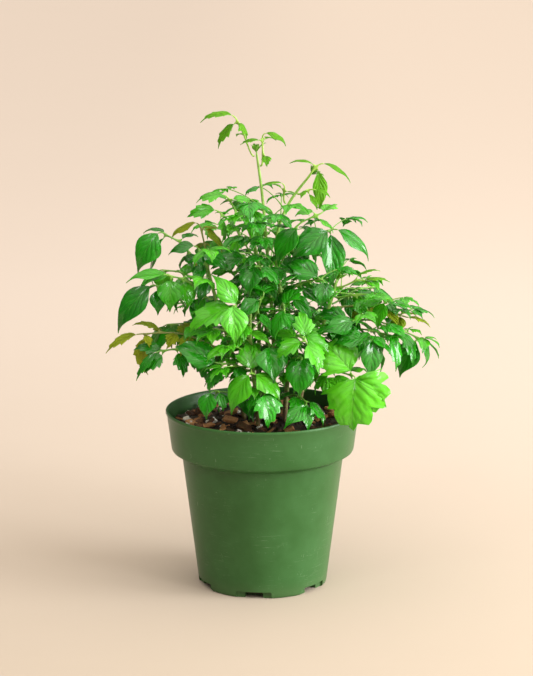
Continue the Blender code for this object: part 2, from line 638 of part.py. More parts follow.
@dataclass
class Leaflet:
    """One leaflet to be grown from a stalk: its place from the stalk's far end, its look, and its seat."""

    back: float
    length: float
    heading: float
    dip: float
    turn: float
    width: float
    seat: int = 0
    base: Vector = None
    axes: tuple = None


class Stalk:
    """The stalk of one compound leaf: its path, the rings along it and the leaflets it bears."""

    def __init__(self, leaf, stem, path_of_stem):
        self.leaf = leaf
        self.planned = leaf_plan(leaf)
        self.leaflets = self.planned
        point, share = point_at_height(path_of_stem, leaf.height + LIFT.z)
        axis = stem_axis(path_of_stem, leaf.height + LIFT.z)
        self.end = Vector(leaf.end) + LIFT
        out = self.end - point
        out = (out - axis * out.dot(axis)).normalized()
        self.root = point + out * (stem_radius(stem, share) + SEAT_GAP)
        self.out = out
        self.own = set()
        self.used = set()

    def lay(self, arch, swing):
        """Bends the stalk: arch lifts its middle and swing moves it sideways, both as shares of its reach."""
        start = self.root + self.out * STUB
        reach = self.end - start
        sideways = reach.cross(Vector((0, 0, 1))).normalized()
        middle = start.lerp(self.end, 0.5) + (Vector((0, 0, 1)) * arch + sideways * swing) * reach.length
        fine = smooth_path([start, middle, self.end], 2.0)
        self.path = [self.root] + fine
        self.reach = [0.0]
        for before, after in zip(self.path, self.path[1:]):
            self.reach.append(self.reach[-1] + (after - before).length)

    @property
    def total(self):
        return self.reach[-1]

    def at(self, distance):
        """(point, direction) of the path at a distance from its root."""
        distance = min(max(distance, 0.0), self.total)
        for place in range(len(self.path) - 1):
            if self.reach[place + 1] >= distance:
                span = self.reach[place + 1] - self.reach[place]
                t = (distance - self.reach[place]) / span
                point = self.path[place].lerp(self.path[place + 1], t)
                return point, (self.path[place + 1] - self.path[place]).normalized()
        return self.path[-1], (self.path[-1] - self.path[-2]).normalized()

    def radius(self, distance):
        return STALK_RADIUS + (STALK_TIP_RADIUS - STALK_RADIUS) * distance / self.total

    def stations(self):
        """The distances of the rings, and for each seat of leaflets the ring it starts from."""
        seats = sorted({leaflet.back for leaflet in self.planned if leaflet.back > 0}, reverse=True)
        seats = [back for back in seats if self.total - back > STUB + 4]
        self.leaflets = [leaflet for leaflet in self.planned if leaflet.back == 0 or leaflet.back in seats]
        fixed = [0.0, STUB]
        starts = {}
        for back in seats:
            middle = self.total - back
            half = self.radius(middle) * 0.9
            starts[back] = middle - half
            fixed += [middle - half, middle + half]
        fixed.append(self.total)
        stations = [fixed[0]]
        for before, after in zip(fixed, fixed[1:]):
            pieces = max(1, round((after - before) / STALK_STEP))
            stations += [before + (after - before) * piece / pieces for piece in range(1, pieces + 1)]
        return stations, starts

    def frames(self, stations):
        """(centre, direction, side) at each station, the side carried along without twist."""
        found = []
        side = self.out.cross(Vector((0, 0, 1))).normalized()
        for distance in stations:
            centre, _ = self.at(distance)
            ahead, behind = self.at(distance + 2)[0], self.at(distance - 2)[0]
            way = self.out if distance == 0 else (ahead - behind).normalized()
            side = (side - way * side.dot(way)).normalized()
            found.append((centre, way, side))
        return found

    def shape(self, margin, start=0.0):
        """A plain tube along the stalk's own rings from a distance onwards, with a margin."""
        stations = [distance for distance in self.stations()[0] if distance >= start]
        return tube_shape([self.at(s)[0] for s in stations], [self.radius(s) + margin for s in stations])


def stem_axis(path, height):
    """The direction of a stem's path where it passes a height."""
    for low, high in zip(path, path[1:]):
        if high.z >= height:
            return (high - low).normalized()
    return (path[-1] - path[-2]).normalized()


def leaf_plan(leaf):
    """The leaflets of a leaf: the listed ones, then the plain pairs nearer the stem."""
    planned = []
    for number, (length, heading, dip, turn, width) in enumerate(leaf.leaflets):
        pair = (number + 1) // 2
        back = 0.0 if number == 0 else FIRST_PAIR + (pair - 1) * PAIR_SPACING
        planned.append(Leaflet(back, length, heading, dip, turn, width or length * BLADE_WIDTH))
    listed_pairs = len(leaf.leaflets) // 2
    heading = leaf.leaflets[0][1]
    for pair in range(leaf.inner_pairs):
        back = FIRST_PAIR + (listed_pairs + pair) * PAIR_SPACING
        length = leaf.inner_length * (1 + INNER_GROWTH * (pair % 2))
        for hand in (-1, 1):
            dip = INNER_DIP + INNER_DIP_STEP * ((pair + hand) % 3)
            planned.append(Leaflet(back, length, heading + hand * INNER_SPREAD, dip, INNER_TURN, length * BLADE_WIDTH))
    return planned


def seat_leaflet(stalk, leaflet, clearing):
    """Takes the free place nearest to what is asked for a leaflet. One with no free place keeps no base."""
    distance = stalk.total - leaflet.back
    centre, way = stalk.at(distance)
    _, _, side = stalk.frames([distance])[0] if leaflet.back == 0 else stalk.seat_frames[leaflet.back]
    up = side.cross(way).normalized()
    facings = [up, -side, -up, side]
    radius = stalk.radius(distance)
    tries = [(abs(heading) * 0.6 + abs(dip) * 0.5 + (1 - size) * 90, heading, dip, size)
             for heading in HEADING_CHANGES for dip in DIP_CHANGES for size in SIZE_CHANGES]
    for _, heading, dip, size in sorted(tries):
        new_dip = leaflet.dip + dip
        if not -80 <= new_dip <= 86:
            continue
        direction, normal = blade_axes(leaflet.heading + heading, new_dip, leaflet.turn)
        length, width = leaflet.length * size, leaflet.width * size
        if leaflet.back == 0:
            if direction.dot(way) < -0.7:
                continue
            base = centre + (way + direction * 1.5).normalized() * PETIOLULE
            seat = 0
        else:
            free = [i for i in range(4) if (leaflet.back, i) not in stalk.used]
            seat = max(free, key=lambda i: facings[i].dot(direction))
            if facings[seat].dot(direction) < 0.3:
                continue
            base = centre + facings[seat] * radius * 0.7 + (facings[seat] + direction * 0.6).normalized() * PETIOLULE
        petiolule = tube_shape([centre + (base - centre) * 0.3, base, base + direction * PETIOLULE],
                               [STALK_TIP_RADIUS + CLEARANCE] * 3)
        if (clearing.is_clear(*blade_shape(base, direction, normal, length, width, CLEARANCE))
                and clearing.is_clear(*petiolule, stalk.own)):
            clearing.add_shape(*blade_shape(base, direction, normal, length, width, 0.05))
            stalk.own.add(clearing.add_shape(*petiolule))
            stalk.used.add((leaflet.back, seat))
            leaflet.seat, leaflet.base, leaflet.axes = seat, base, (direction, normal)
            leaflet.length, leaflet.width = length, width
            return


def build_leaf(stalk):
    """One compound leaf as one closed body."""
    stations, starts = stalk.stations()
    end = next((leaflet for leaflet in stalk.leaflets if leaflet.back == 0 and leaflet.base is not None), None)
    frames = stalk.frames(stations)
    if end is not None:
        centre, way, side = frames[-1]
        way = (way + end.axes[0]).normalized()
        frames[-1] = (centre, way, (side - way * side.dot(way)).normalized())
    bm = bmesh.new()
    rings = [ring(bm, centre, way, stalk.radius(distance), side)
             for distance, (centre, way, side) in zip(stations, frames)]
    bm.faces.new(rings[0])
    seats = {}
    for leaflet in stalk.leaflets:
        if leaflet.base is not None and leaflet.back > 0:
            seats[(stations.index(starts[leaflet.back]), leaflet.seat)] = leaflet
    for number, (first, second) in enumerate(zip(rings, rings[1:])):
        for i in range(4):
            j = (i + 1) % 4
            corners = [first[i], first[j], second[j], second[i]]
            leaflet = seats.get((number, i))
            if leaflet is None:
                bm.faces.new(corners)
            else:
                add_leaflet(bm, corners, leaflet)
    if end is None:
        bm.faces.new(rings[-1])
    else:
        add_leaflet(bm, rings[-1], end)
    return bm


def build_plant(clearing):
    """Every stem and compound leaf, each clear of all the others."""
    paths = {stem.name: stem_path(stem) for stem in STEMS}
    stems = {stem.name: stem for stem in STEMS}
    for stem in STEMS:
        bm = build_stem(stem, paths[stem.name])
        clearing.add(bm)
        add_object(stem.name, bm, "stem", smooth=50)
    stalks = []
    for leaf in LEAVES:
        stalk = Stalk(leaf, stems[leaf.stem], paths[leaf.stem])
        for arch, swing in STALK_LAYS:
            stalk.lay(arch, swing)
            if clearing.is_clear(*stalk.shape(CLEARANCE, STUB)):
                break
        stalk.own = {clearing.add_shape(*stalk.shape(0.1))}
        stalks.append(stalk)
    for stalk in stalks:
        stations, starts = stalk.stations()
        stalk.seat_frames = {back: frame for back, frame in
                             zip(starts, stalk.frames([stalk.total - back for back in starts]))}
    most = max(len(stalk.leaflets) for stalk in stalks)
    for rank in range(most):
        for stalk in stalks:
            if rank < len(stalk.leaflets):
                seat_leaflet(stalk, stalk.leaflets[rank], clearing)
    for stalk in stalks:
        add_object(stalk.leaf.name, build_leaf(stalk), stalk.leaf.age)


def main():
    clear_scene()
    clearing = Clearing()
    build_pot(clearing)
    build_soil(clearing)
    build_plant(clearing)


main()
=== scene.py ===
"""A potted china doll plant: glossy compound leaves on thin stems in a green nursery pot.

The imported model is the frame. Each stem, leaf, the mix and the pot are remade here at full
detail in the places that the frame gives, and dressed with node materials.
Lengths are metres unless a name ends in _mm.
"""

import json
import logging
import math
import random
from dataclasses import dataclass, field
from enum import Enum
from typing import Callable, Sequence

import bmesh
import bpy
from mathutils import Matrix, Vector, noise
from mathutils.bvhtree import BVHTree


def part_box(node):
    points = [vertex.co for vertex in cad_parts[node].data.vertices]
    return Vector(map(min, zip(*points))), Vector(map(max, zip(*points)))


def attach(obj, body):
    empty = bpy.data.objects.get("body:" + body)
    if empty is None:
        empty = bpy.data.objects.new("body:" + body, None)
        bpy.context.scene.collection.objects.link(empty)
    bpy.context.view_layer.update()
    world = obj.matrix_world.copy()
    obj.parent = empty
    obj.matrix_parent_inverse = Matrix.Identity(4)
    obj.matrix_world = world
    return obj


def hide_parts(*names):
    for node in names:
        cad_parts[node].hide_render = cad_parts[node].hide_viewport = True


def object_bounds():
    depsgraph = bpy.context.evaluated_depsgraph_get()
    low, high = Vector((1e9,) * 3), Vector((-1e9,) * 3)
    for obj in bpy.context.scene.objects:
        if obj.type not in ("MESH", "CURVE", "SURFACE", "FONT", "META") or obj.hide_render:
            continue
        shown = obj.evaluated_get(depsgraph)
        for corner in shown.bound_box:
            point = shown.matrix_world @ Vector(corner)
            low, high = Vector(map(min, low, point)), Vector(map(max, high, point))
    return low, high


for leftover in ("Cube", "Light", "Camera"):
    if leftover in bpy.data.objects:
        bpy.data.objects.remove(bpy.data.objects[leftover])

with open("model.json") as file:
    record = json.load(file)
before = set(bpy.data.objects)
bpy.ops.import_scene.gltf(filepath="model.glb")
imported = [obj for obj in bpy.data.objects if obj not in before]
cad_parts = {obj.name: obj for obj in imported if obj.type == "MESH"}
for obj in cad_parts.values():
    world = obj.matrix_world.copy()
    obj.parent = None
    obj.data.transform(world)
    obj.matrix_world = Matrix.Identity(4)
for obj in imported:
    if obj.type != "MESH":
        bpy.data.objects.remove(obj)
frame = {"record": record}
CAD_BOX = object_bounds()

MM = 0.001
UP = Vector((0, 0, 1))
BODY = "root"
LOG = logging.getLogger("china_doll_plant")

Colour = tuple[float, float, float]
Socket = bpy.types.NodeSocket


class LeafAge(Enum):
    """How old a compound leaf is; each value is its material slot in the record."""

    MATURE = "leaf_mature"
    FRESH = "leaf_fresh"
    YOUNG = "leaf_young"
    OLIVE = "leaf_olive"


# ------------------------------------------------------------------ shader graphs


class Graph:
    """Adds nodes to one node tree and links them."""

    def __init__(self, tree: bpy.types.NodeTree) -> None:
        """Works on the given tree."""
        self.tree = tree

    def add(self, kind: str, inputs: dict | None = None, **settings: object) -> bpy.types.Node:
        """Adds a node.

        Args:
            kind: The node's type, without the leading "ShaderNode".
            inputs: Socket name or number to a value or to a socket to link from.
            settings: Properties to set on the node.

        Returns:
            The new node.
        """
        node = self.tree.nodes.new("ShaderNode" + kind)
        for name, value in settings.items():
            setattr(node, name, value)
        for key, value in (inputs or {}).items():
            self.feed(node.inputs[key], value)
        return node

    def feed(self, socket: Socket, value: object) -> None:
        """Links a socket to a value's socket, or sets it to a plain value."""
        if isinstance(value, bpy.types.NodeSocket):
            self.tree.links.new(value, socket)
        elif isinstance(value, tuple) and len(value) == 3 and socket.type == "RGBA":
            socket.default_value = (*value, 1.0)
        else:
            socket.default_value = value

    def math(self, operation: str, first: object, second: object = 0.0, third: object = 0.0) -> Socket:
        """The result of a Math node."""
        return self.add("Math", {0: first, 1: second, 2: third}, operation=operation).outputs[0]

    def times(self, first: object, second: object) -> Socket:
        """The product of two values."""
        return self.math("MULTIPLY", first, second)

    def line(self, value: object, slope: object, start: object) -> Socket:
        """A value times a slope, plus a start."""
        return self.math("MULTIPLY_ADD", value, slope, start)

    def blend(self, factor: object, first: object, second: object, mode: str = "MIX") -> Socket:
        """The result of a colour Mix node."""
        node = self.add("Mix", data_type="RGBA", blend_type=mode)
        for socket, value in ((node.inputs[0], factor), (node.inputs[6], first), (node.inputs[7], second)):
            self.feed(socket, value)
        return node.outputs[2]

    def spread(self, value: object, low: float, high: float, to_low: float = 0.0, to_high: float = 1.0) -> Socket:
        """A value mapped smoothly from one range to another and held at its ends."""
        node = self.add("MapRange", {0: value, 1: low, 2: high, 3: to_low, 4: to_high}, interpolation_type="SMOOTHSTEP")
        return node.outputs[0]

    def noise(self, place: object, scale: object, detail: float = 3.0, roughness: float = 0.55) -> Socket:
        """The grey value of a Noise texture."""
        inputs = {"Vector": place, "Scale": scale, "Detail": detail, "Roughness": roughness}
        return self.add("TexNoise", inputs).outputs[0]

    def place(self) -> Socket:
        """The piece's own coordinates, in metres."""
        return self.add("TexCoord").outputs["Object"]

    def stretched(self, place: object, scale: tuple[float, float, float]) -> Socket:
        """Coordinates scaled on each axis."""
        return self.add("Mapping", {"Vector": place, "Scale": scale}).outputs[0]

    def group(self, name: str, **inputs: object) -> bpy.types.Node:
        """Places a shared node group with its own values."""
        node = self.tree.nodes.new("ShaderNodeGroup")
        node.node_tree = bpy.data.node_groups[name]
        for key, value in inputs.items():
            self.feed(node.inputs[key], value)
        return node

    def mottle(self, scale: float) -> Socket:
        """Soft uneven patches, from the shared group."""
        return self.group("mottle", Scale=scale).outputs[0]

    def grain(self, scale: float) -> Socket:
        """A fine stipple, from the shared group."""
        return self.group("grain", Scale=scale).outputs[0]

    def surface(self, **inputs: object) -> Socket:
        """A Principled BSDF's shader; underscores in names stand for spaces."""
        return self.add("BsdfPrincipled", {key.replace("_", " "): value for key, value in inputs.items()}).outputs[0]

    def bump(self, height: object, distance: float, strength: float = 1.0) -> Socket:
        """A normal raised by a height."""
        return self.add("Bump", {"Height": height, "Distance": distance, "Strength": strength}).outputs[0]


def new_material(name: str, draw: Callable[[Graph], Socket]) -> bpy.types.Material:
    """A node material whose surface is the shader that a finish draws."""
    made = bpy.data.materials.new(name)
    made.use_nodes = True
    made.node_tree.nodes.clear()
    graph = Graph(made.node_tree)
    graph.add("OutputMaterial", {"Surface": draw(graph)})
    return made


def new_group(name: str, inputs: dict[str, float],
              build: Callable[[Graph, dict[str, Socket]], dict[str, Socket]]) -> None:
    """Builds a shared node group.

    Args:
        name: The group's name.
        inputs: Each input's name and its usual value.
        build: Fills the group's graph; it gets the input sockets and returns the output sockets by name.
    """
    tree = bpy.data.node_groups.new(name, "ShaderNodeTree")
    for key, value in inputs.items():
        tree.interface.new_socket(key, in_out="INPUT", socket_type="NodeSocketFloat").default_value = value
    given = tree.nodes.new("NodeGroupInput").outputs
    made = build(Graph(tree), {key: given[key] for key in inputs})
    for key in made:
        tree.interface.new_socket(key, in_out="OUTPUT", socket_type="NodeSocketFloat")
    leave = tree.nodes.new("NodeGroupOutput")
    for key, socket in made.items():
        tree.links.new(socket, leave.inputs[key])


def vein_pattern(graph: Graph, given: dict[str, Socket]) -> dict[str, Socket]:
    """A midrib, slanting side veins and a fine net between them, laid out on a blade's own UV map."""
    blade = graph.add("UVMap", uv_map=BLADE_UV).outputs[0]
    split = graph.add("SeparateXYZ", {0: blade}).outputs
    across = graph.math("ABSOLUTE", graph.line(split[0], 2.0, -1.0))
    reach = graph.times(graph.math("POWER", across, 0.8), given["Slant"])
    wobble = graph.line(graph.noise(blade, 5.0, 1.0), 0.5, -0.25)
    phase = graph.math("ADD", graph.math("SUBTRACT", graph.times(split[1], given["Count"]), reach), wobble)
    away = graph.times(graph.math("ABSOLUTE", graph.math("SUBTRACT", graph.math("FRACT", phase), 0.5)), 2.0)
    fade = graph.spread(across, 0.7, 1.0, 1.0, 0.25)
    veins = graph.times(graph.spread(away, 0.8, 1.0), fade)
    midrib = graph.spread(across, given["Width"], 0.0)
    cells = graph.add("TexVoronoi", {"Vector": graph.stretched(blade, (16.0, 34.0, 1.0)), "Scale": 1.0},
                      feature="DISTANCE_TO_EDGE").outputs["Distance"]
    net = graph.spread(cells, 0.14, 0.0)
    pillow = graph.times(graph.spread(away, 1.0, 0.2), fade)
    height = graph.math("ADD", graph.times(pillow, 0.8), graph.times(midrib, -1.0))
    height = graph.math("SUBTRACT", height, graph.times(net, 0.07))
    return {"Midrib": midrib, "Veins": veins, "Net": net, "Height": height}


def mottle_pattern(graph: Graph, given: dict[str, Socket]) -> dict[str, Socket]:
    """Soft uneven patches with a finer layer over them."""
    place = graph.place()
    coarse = graph.noise(place, given["Scale"], 2.0)
    fine = graph.noise(place, graph.times(given["Scale"], 6.0), 4.0)
    both = graph.line(fine, 0.35, graph.times(coarse, 0.65))
    return {"Value": graph.spread(both, 0.32, 0.68)}


def fibre_pattern(graph: Graph, given: dict[str, Socket]) -> dict[str, Socket]:
    """Bark and wood fibre: lines that run along a piece's own UV length, broken by noise."""
    along = graph.add("UVMap", uv_map=BLADE_UV).outputs[0]
    split = graph.add("SeparateXYZ", {0: along}).outputs
    joined = graph.add("CombineXYZ", {0: graph.times(split[0], given["Across"]),
                                      1: graph.times(split[1], given["Along"])}).outputs[0]
    lines = graph.noise(joined, 1.0, 5.0, 0.65)
    return {"Value": graph.spread(lines, 0.35, 0.65)}


def grain_pattern(graph: Graph, given: dict[str, Socket]) -> dict[str, Socket]:
    """The fine stipple of a moulded or porous skin."""
    place = graph.place()
    pits = graph.add("TexVoronoi", {"Vector": place, "Scale": given["Scale"]}).outputs["Distance"]
    grit = graph.noise(place, graph.times(given["Scale"], 0.6), 5.0, 0.7)
    return {"Height": graph.line(pits, 0.4, graph.times(grit, 0.6))}


def build_groups() -> None:
    """Builds every effect that more than one material uses."""
    new_group("leaf_veins", {"Count": 6.0, "Slant": 2.0, "Width": 0.09}, vein_pattern)
    new_group("mottle", {"Scale": 60.0}, mottle_pattern)
    new_group("fibre", {"Across": 8.0, "Along": 2.0}, fibre_pattern)
    new_group("grain", {"Scale": 900.0}, grain_pattern)


# ------------------------------------------------------------------ finishes

BLADE_UV = "BladeUV"
TONE = "tone"


@dataclass(frozen=True)
class BladeFinish:
    """The two faces of a leaflet's blade at one age."""

    age: LeafAge
    deep: Colour
    bright: Colour
    vein: Colour
    under: Colour
    roughness: float
    coat: float
    glow: float
    glow_colour: Colour
    blemish: float
    fleck: Colour = (0.2, 0.09, 0.02)
    vein_count: float = 5.0

    def faces(self) -> tuple[bpy.types.Material, bpy.types.Material]:
        """The upper and the lower face's materials."""
        name = self.age.value
        return new_material(name + "_upper", self.upper), new_material(name + "_lower", self.lower)

    def upper(self, graph: Graph) -> Socket:
        """The glossy upper face."""
        veins = graph.group("leaf_veins", Count=self.vein_count, Slant=2.5, Width=0.05).outputs
        mottle = graph.mottle(70.0)
        tone = graph.add("Attribute", attribute_name=TONE).outputs["Fac"]
        body = graph.blend(graph.line(mottle, 0.3, graph.times(tone, 0.85)), self.deep, self.bright)
        for part, share in (("Veins", 0.28), ("Net", 0.1), ("Midrib", 0.75)):
            body = graph.blend(graph.times(veins[part], share), body, self.vein)
        flecks = graph.noise(graph.place(), 95.0, 5.0, 0.7)
        flecks = graph.spread(flecks, 0.72 - self.blemish, 0.8 - self.blemish)
        body = graph.blend(graph.times(flecks, 0.8), body, self.fleck)
        rough = graph.line(mottle, 0.1, self.roughness - 0.05)
        return self.lit_through(graph, graph.surface(
            Base_Color=body, Roughness=rough, Normal=graph.bump(veins["Height"], 0.0012, 0.75),
            Coat_Weight=self.coat, Coat_Roughness=0.16, IOR=1.46, Specular_IOR_Level=0.15))

    def lower(self, graph: Graph) -> Socket:
        """The paler, duller underside, with its veins standing out."""
        veins = graph.group("leaf_veins", Count=self.vein_count, Slant=2.3, Width=0.1).outputs
        mottle = graph.mottle(90.0)
        body = graph.blend(graph.times(mottle, 0.35), self.under, self.bright)
        for part, share in (("Midrib", 0.8), ("Veins", 0.3)):
            body = graph.blend(graph.times(veins[part], share), body, self.vein)
        raised = graph.bump(graph.times(veins["Height"], -1.0), 0.0008, 0.6)
        skin = graph.surface(Base_Color=body, Roughness=graph.line(mottle, 0.12, 0.48), Normal=raised)
        return self.lit_through(graph, skin)

    def lit_through(self, graph: Graph, skin: Socket) -> Socket:
        """A skin mixed with the light that passes through the blade."""
        through = graph.add("BsdfTranslucent", {"Color": self.glow_colour}).outputs[0]
        return graph.add("MixShader", {0: self.glow, 1: skin, 2: through}).outputs[0]


BLADE_FINISHES = (
    BladeFinish(LeafAge.MATURE, (0.003, 0.145, 0.003), (0.03, 0.46, 0.006), (0.08, 0.46, 0.03), (0.06, 0.34, 0.012),
                0.19, 1.0, 0.16, (0.16, 0.8, 0.004), 0.0),
    BladeFinish(LeafAge.FRESH, (0.024, 0.37, 0.004), (0.14, 0.68, 0.02), (0.22, 0.72, 0.05), (0.1, 0.48, 0.015),
                0.22, 1.0, 0.26, (0.26, 0.95, 0.006), 0.0),
    BladeFinish(LeafAge.YOUNG, (0.09, 0.36, 0.008), (0.2, 0.55, 0.02), (0.36, 0.66, 0.09), (0.2, 0.5, 0.05),
                0.36, 0.15, 0.32, (0.3, 0.7, 0.05), 0.0),
    BladeFinish(LeafAge.OLIVE, (0.15, 0.29, 0.008), (0.42, 0.52, 0.02), (0.5, 0.58, 0.07), (0.3, 0.42, 0.03),
                0.38, 0.15, 0.26, (0.34, 0.45, 0.04), 0.06),
)


@dataclass(frozen=True)
class Finish:
    """One finish: its material's name, and the shader that each kind of finish draws."""

    name: str

    def make(self) -> bpy.types.Material:
        """Builds the material."""
        return new_material(self.name, self.draw)

    def draw(self, graph: Graph) -> Socket:
        """The finish's shader."""
        raise NotImplementedError


@dataclass(frozen=True)
class StalkFinish(Finish):
    """The skin of a leaf's stalk, green and faintly grooved."""

    colour: Colour
    flush: Colour
    roughness: float = 0.42

    def draw(self, graph: Graph) -> Socket:
        """The finish's shader."""
        mottle = graph.mottle(160.0)
        return graph.surface(Base_Color=graph.blend(mottle, self.colour, self.flush),
                             Roughness=graph.line(mottle, 0.15, self.roughness - 0.07),
                             Normal=graph.bump(graph.grain(2200.0), 0.0003, 0.5))


@dataclass(frozen=True)
class StemFinish(Finish):
    """A stem's skin: brown bark at the mix, turning green towards the top."""

    name: str = "stem_bark"
    bark: Colour = (0.12, 0.07, 0.03)
    bark_light: Colour = (0.26, 0.17, 0.08)
    green: Colour = (0.2, 0.42, 0.05)
    green_light: Colour = (0.34, 0.62, 0.12)
    pore: Colour = (0.36, 0.3, 0.17)
    brown_below: float = 0.15
    green_above: float = 0.245

    def draw(self, graph: Graph) -> Socket:
        """The finish's shader."""
        mottle, place = graph.mottle(150.0), graph.place()
        height = graph.add("SeparateXYZ", {0: place}).outputs[2]
        ridges = graph.noise(graph.stretched(place, (900.0, 900.0, 110.0)), 1.0, 4.0, 0.6)
        pores = graph.add("TexVoronoi", {"Vector": graph.stretched(place, (420.0, 420.0, 260.0)), "Scale": 1.0})
        dots = graph.spread(pores.outputs[0], 0.22, 0.1)
        bark = graph.blend(mottle, self.bark, self.bark_light)
        green = graph.blend(mottle, self.green, self.green_light)
        grown = graph.spread(graph.line(mottle, 0.05, height), self.brown_below, self.green_above)
        body = graph.blend(graph.times(dots, 0.5), graph.blend(grown, bark, green), self.pore)
        return graph.surface(Base_Color=body, Roughness=graph.line(ridges, 0.3, 0.42),
                             Normal=graph.bump(graph.line(dots, 0.5, ridges), 0.0006, 0.7))


@dataclass(frozen=True)
class PotFinish(Finish):
    """Moulded green plastic, satin, with the light scuffs and dust of use."""

    name: str = "pot_plastic"
    body: Colour = (0.026, 0.1, 0.02)
    faded: Colour = (0.055, 0.17, 0.05)
    scuff: Colour = (0.3, 0.42, 0.26)
    dust: Colour = (0.3, 0.26, 0.17)
    roughness: float = 0.36
    dusty_below: float = 16 * MM

    def marks(self, graph: Graph, place: Socket) -> Socket:
        """Ring scratches, nicks and specks, gathered in patches."""
        patches = graph.spread(graph.noise(place, 34.0, 3.0, 0.6), 0.46, 0.62)
        rings = graph.noise(graph.stretched(place, (60.0, 60.0, 900.0)), 1.0, 6.0, 0.75)
        nicks = graph.noise(graph.stretched(place, (520.0, 520.0, 130.0)), 1.0, 5.0, 0.8)
        specks = graph.spread(graph.noise(place, 260.0, 4.0, 0.8), 0.64, 0.7)
        marks = graph.math("MAXIMUM", graph.times(graph.spread(rings, 0.58, 0.66), 0.35),
                           graph.spread(nicks, 0.64, 0.7))
        return graph.times(graph.math("MAXIMUM", marks, graph.times(specks, 0.6)), patches)

    def draw(self, graph: Graph) -> Socket:
        """The finish's shader."""
        place, mottle = graph.place(), graph.mottle(16.0)
        marks = self.marks(graph, place)
        height = graph.add("SeparateXYZ", {0: place}).outputs[2]
        low = graph.times(graph.spread(height, self.dusty_below, 0.0), graph.noise(place, 120.0, 5.0, 0.7))
        body = graph.blend(graph.times(mottle, 0.45), self.body, self.faded)
        body = graph.blend(graph.times(marks, 0.55), body, self.scuff)
        body = graph.blend(graph.times(low, 0.12), body, self.dust)
        rough = graph.math("ADD", graph.line(mottle, 0.08, self.roughness - 0.04), graph.times(marks, 0.25))
        relief = graph.math("SUBTRACT", graph.times(graph.grain(1500.0), 0.35), graph.times(marks, 0.6))
        return graph.surface(Base_Color=body, Roughness=rough, Normal=graph.bump(relief, 0.00025, 0.5),
                             Specular_IOR_Level=0.3)


@dataclass(frozen=True)
class EarthFinish(Finish):
    """Moist peat: near black, crumbly, with brown fibres and pale grit."""

    name: str = "peat"
    dark: Colour = (0.007, 0.004, 0.002)
    brown: Colour = (0.05, 0.027, 0.012)
    grit: Colour = (0.2, 0.15, 0.09)

    def draw(self, graph: Graph) -> Socket:
        """The finish's shader."""
        place, mottle = graph.place(), graph.mottle(240.0)
        lumps = graph.noise(place, 170.0, 6.0, 0.7)
        specks = graph.spread(graph.noise(place, 900.0, 3.0, 0.7), 0.66, 0.74)
        body = graph.blend(graph.times(specks, 0.7), graph.blend(mottle, self.dark, self.brown), self.grit)
        return graph.surface(Base_Color=body, Roughness=graph.line(mottle, 0.25, 0.62),
                             Normal=graph.bump(graph.line(graph.grain(700.0), 0.4, lumps), 0.002, 0.9))


@dataclass(frozen=True)
class BarkChipFinish(Finish):
    """Shredded conifer bark: orange-brown faces, dark edges, long fibres."""

    pale: Colour
    deep: Colour
    damp: Colour = (0.02, 0.011, 0.006)

    def draw(self, graph: Graph) -> Socket:
        """The finish's shader."""
        mottle = graph.mottle(130.0)
        fibre = graph.group("fibre", Across=26.0, Along=3.0).outputs[0]
        tone = graph.add("Attribute", attribute_name=TONE).outputs["Fac"]
        body = graph.blend(graph.line(fibre, 0.5, graph.times(tone, 0.5)), self.deep, self.pale)
        body = graph.blend(graph.times(mottle, 0.35), body, self.damp)
        return graph.surface(Base_Color=body, Roughness=graph.line(mottle, 0.25, 0.55),
                             Normal=graph.bump(fibre, 0.0012, 0.8))


@dataclass(frozen=True)
class PerliteFinish(Finish):
    """Popped white mineral, porous and a little stained."""

    name: str = "perlite"
    white: Colour = (0.95, 0.92, 0.86)
    stain: Colour = (0.5, 0.4, 0.27)

    def draw(self, graph: Graph) -> Socket:
        """The finish's shader."""
        grain = graph.grain(1800.0)
        return graph.surface(Base_Color=graph.blend(graph.times(graph.mottle(320.0), 0.55), self.white, self.stain),
                             Roughness=graph.line(grain, 0.2, 0.68), Normal=graph.bump(grain, 0.0009, 0.8))


@dataclass(frozen=True)
class PaperFinish(Finish):
    """The plain pale sheet that the pot stands on, with painted shade that darkens it towards the front and the left.
    """

    name: str = "studio_paper"
    colour: Colour = (0.655, 0.575, 0.505)
    # Painted shade: the darker colour that the sheet fades to at the front.
    near: Colour = (0.485, 0.41, 0.325)
    # Painted shade: multiplied over the sheet towards the left.
    shade: Colour = (0.9, 0.9, 0.91)

    def draw(self, graph: Graph) -> Socket:
        """The finish's shader."""
        across, back = graph.add("SeparateXYZ", {0: graph.place()}).outputs[:2]
        # Painted shade: darker towards the front, then multiplied darker towards the left.
        body = graph.blend(graph.spread(back, -0.5, 1.3), self.near, self.colour)
        body = graph.blend(graph.spread(across, 0.4, -0.4), body, self.shade, "MULTIPLY")
        body = graph.blend(graph.times(graph.mottle(3.0), 0.04), body, self.colour)
        return graph.surface(Base_Color=body, Roughness=0.85)


# ------------------------------------------------------------------ modelling helpers


def deselect_all() -> None:
    """Leaves edit mode and deselects every object."""
    if bpy.context.object and bpy.context.object.mode != "OBJECT":
        bpy.ops.object.mode_set(mode="OBJECT")
    bpy.ops.object.select_all(action="DESELECT")


def take(obj: bpy.types.Object) -> bpy.types.Object:
    """Makes one object the selected and active one."""
    deselect_all()
    obj.select_set(True)
    bpy.context.view_layer.objects.active = obj
    return obj


def named(name: str) -> bpy.types.Object:
    """Names the active object and its mesh."""
    obj = bpy.context.object
    obj.name = obj.data.name = name
    return obj


def apply_modifier(obj: bpy.types.Object, kind: str, **settings: object) -> None:
    """Adds a modifier to an object, sets it up and applies it."""
    take(obj)
    modifier = obj.modifiers.new(kind.lower(), kind)
    for name, value in settings.items():
        setattr(modifier, name, value)
    bpy.ops.object.modifier_apply(modifier=modifier.name)


def subdivide_surface(obj: bpy.types.Object, levels: int) -> None:
    """Applies a subdivision surface."""
    apply_modifier(obj, "SUBSURF", levels=levels, render_levels=levels)


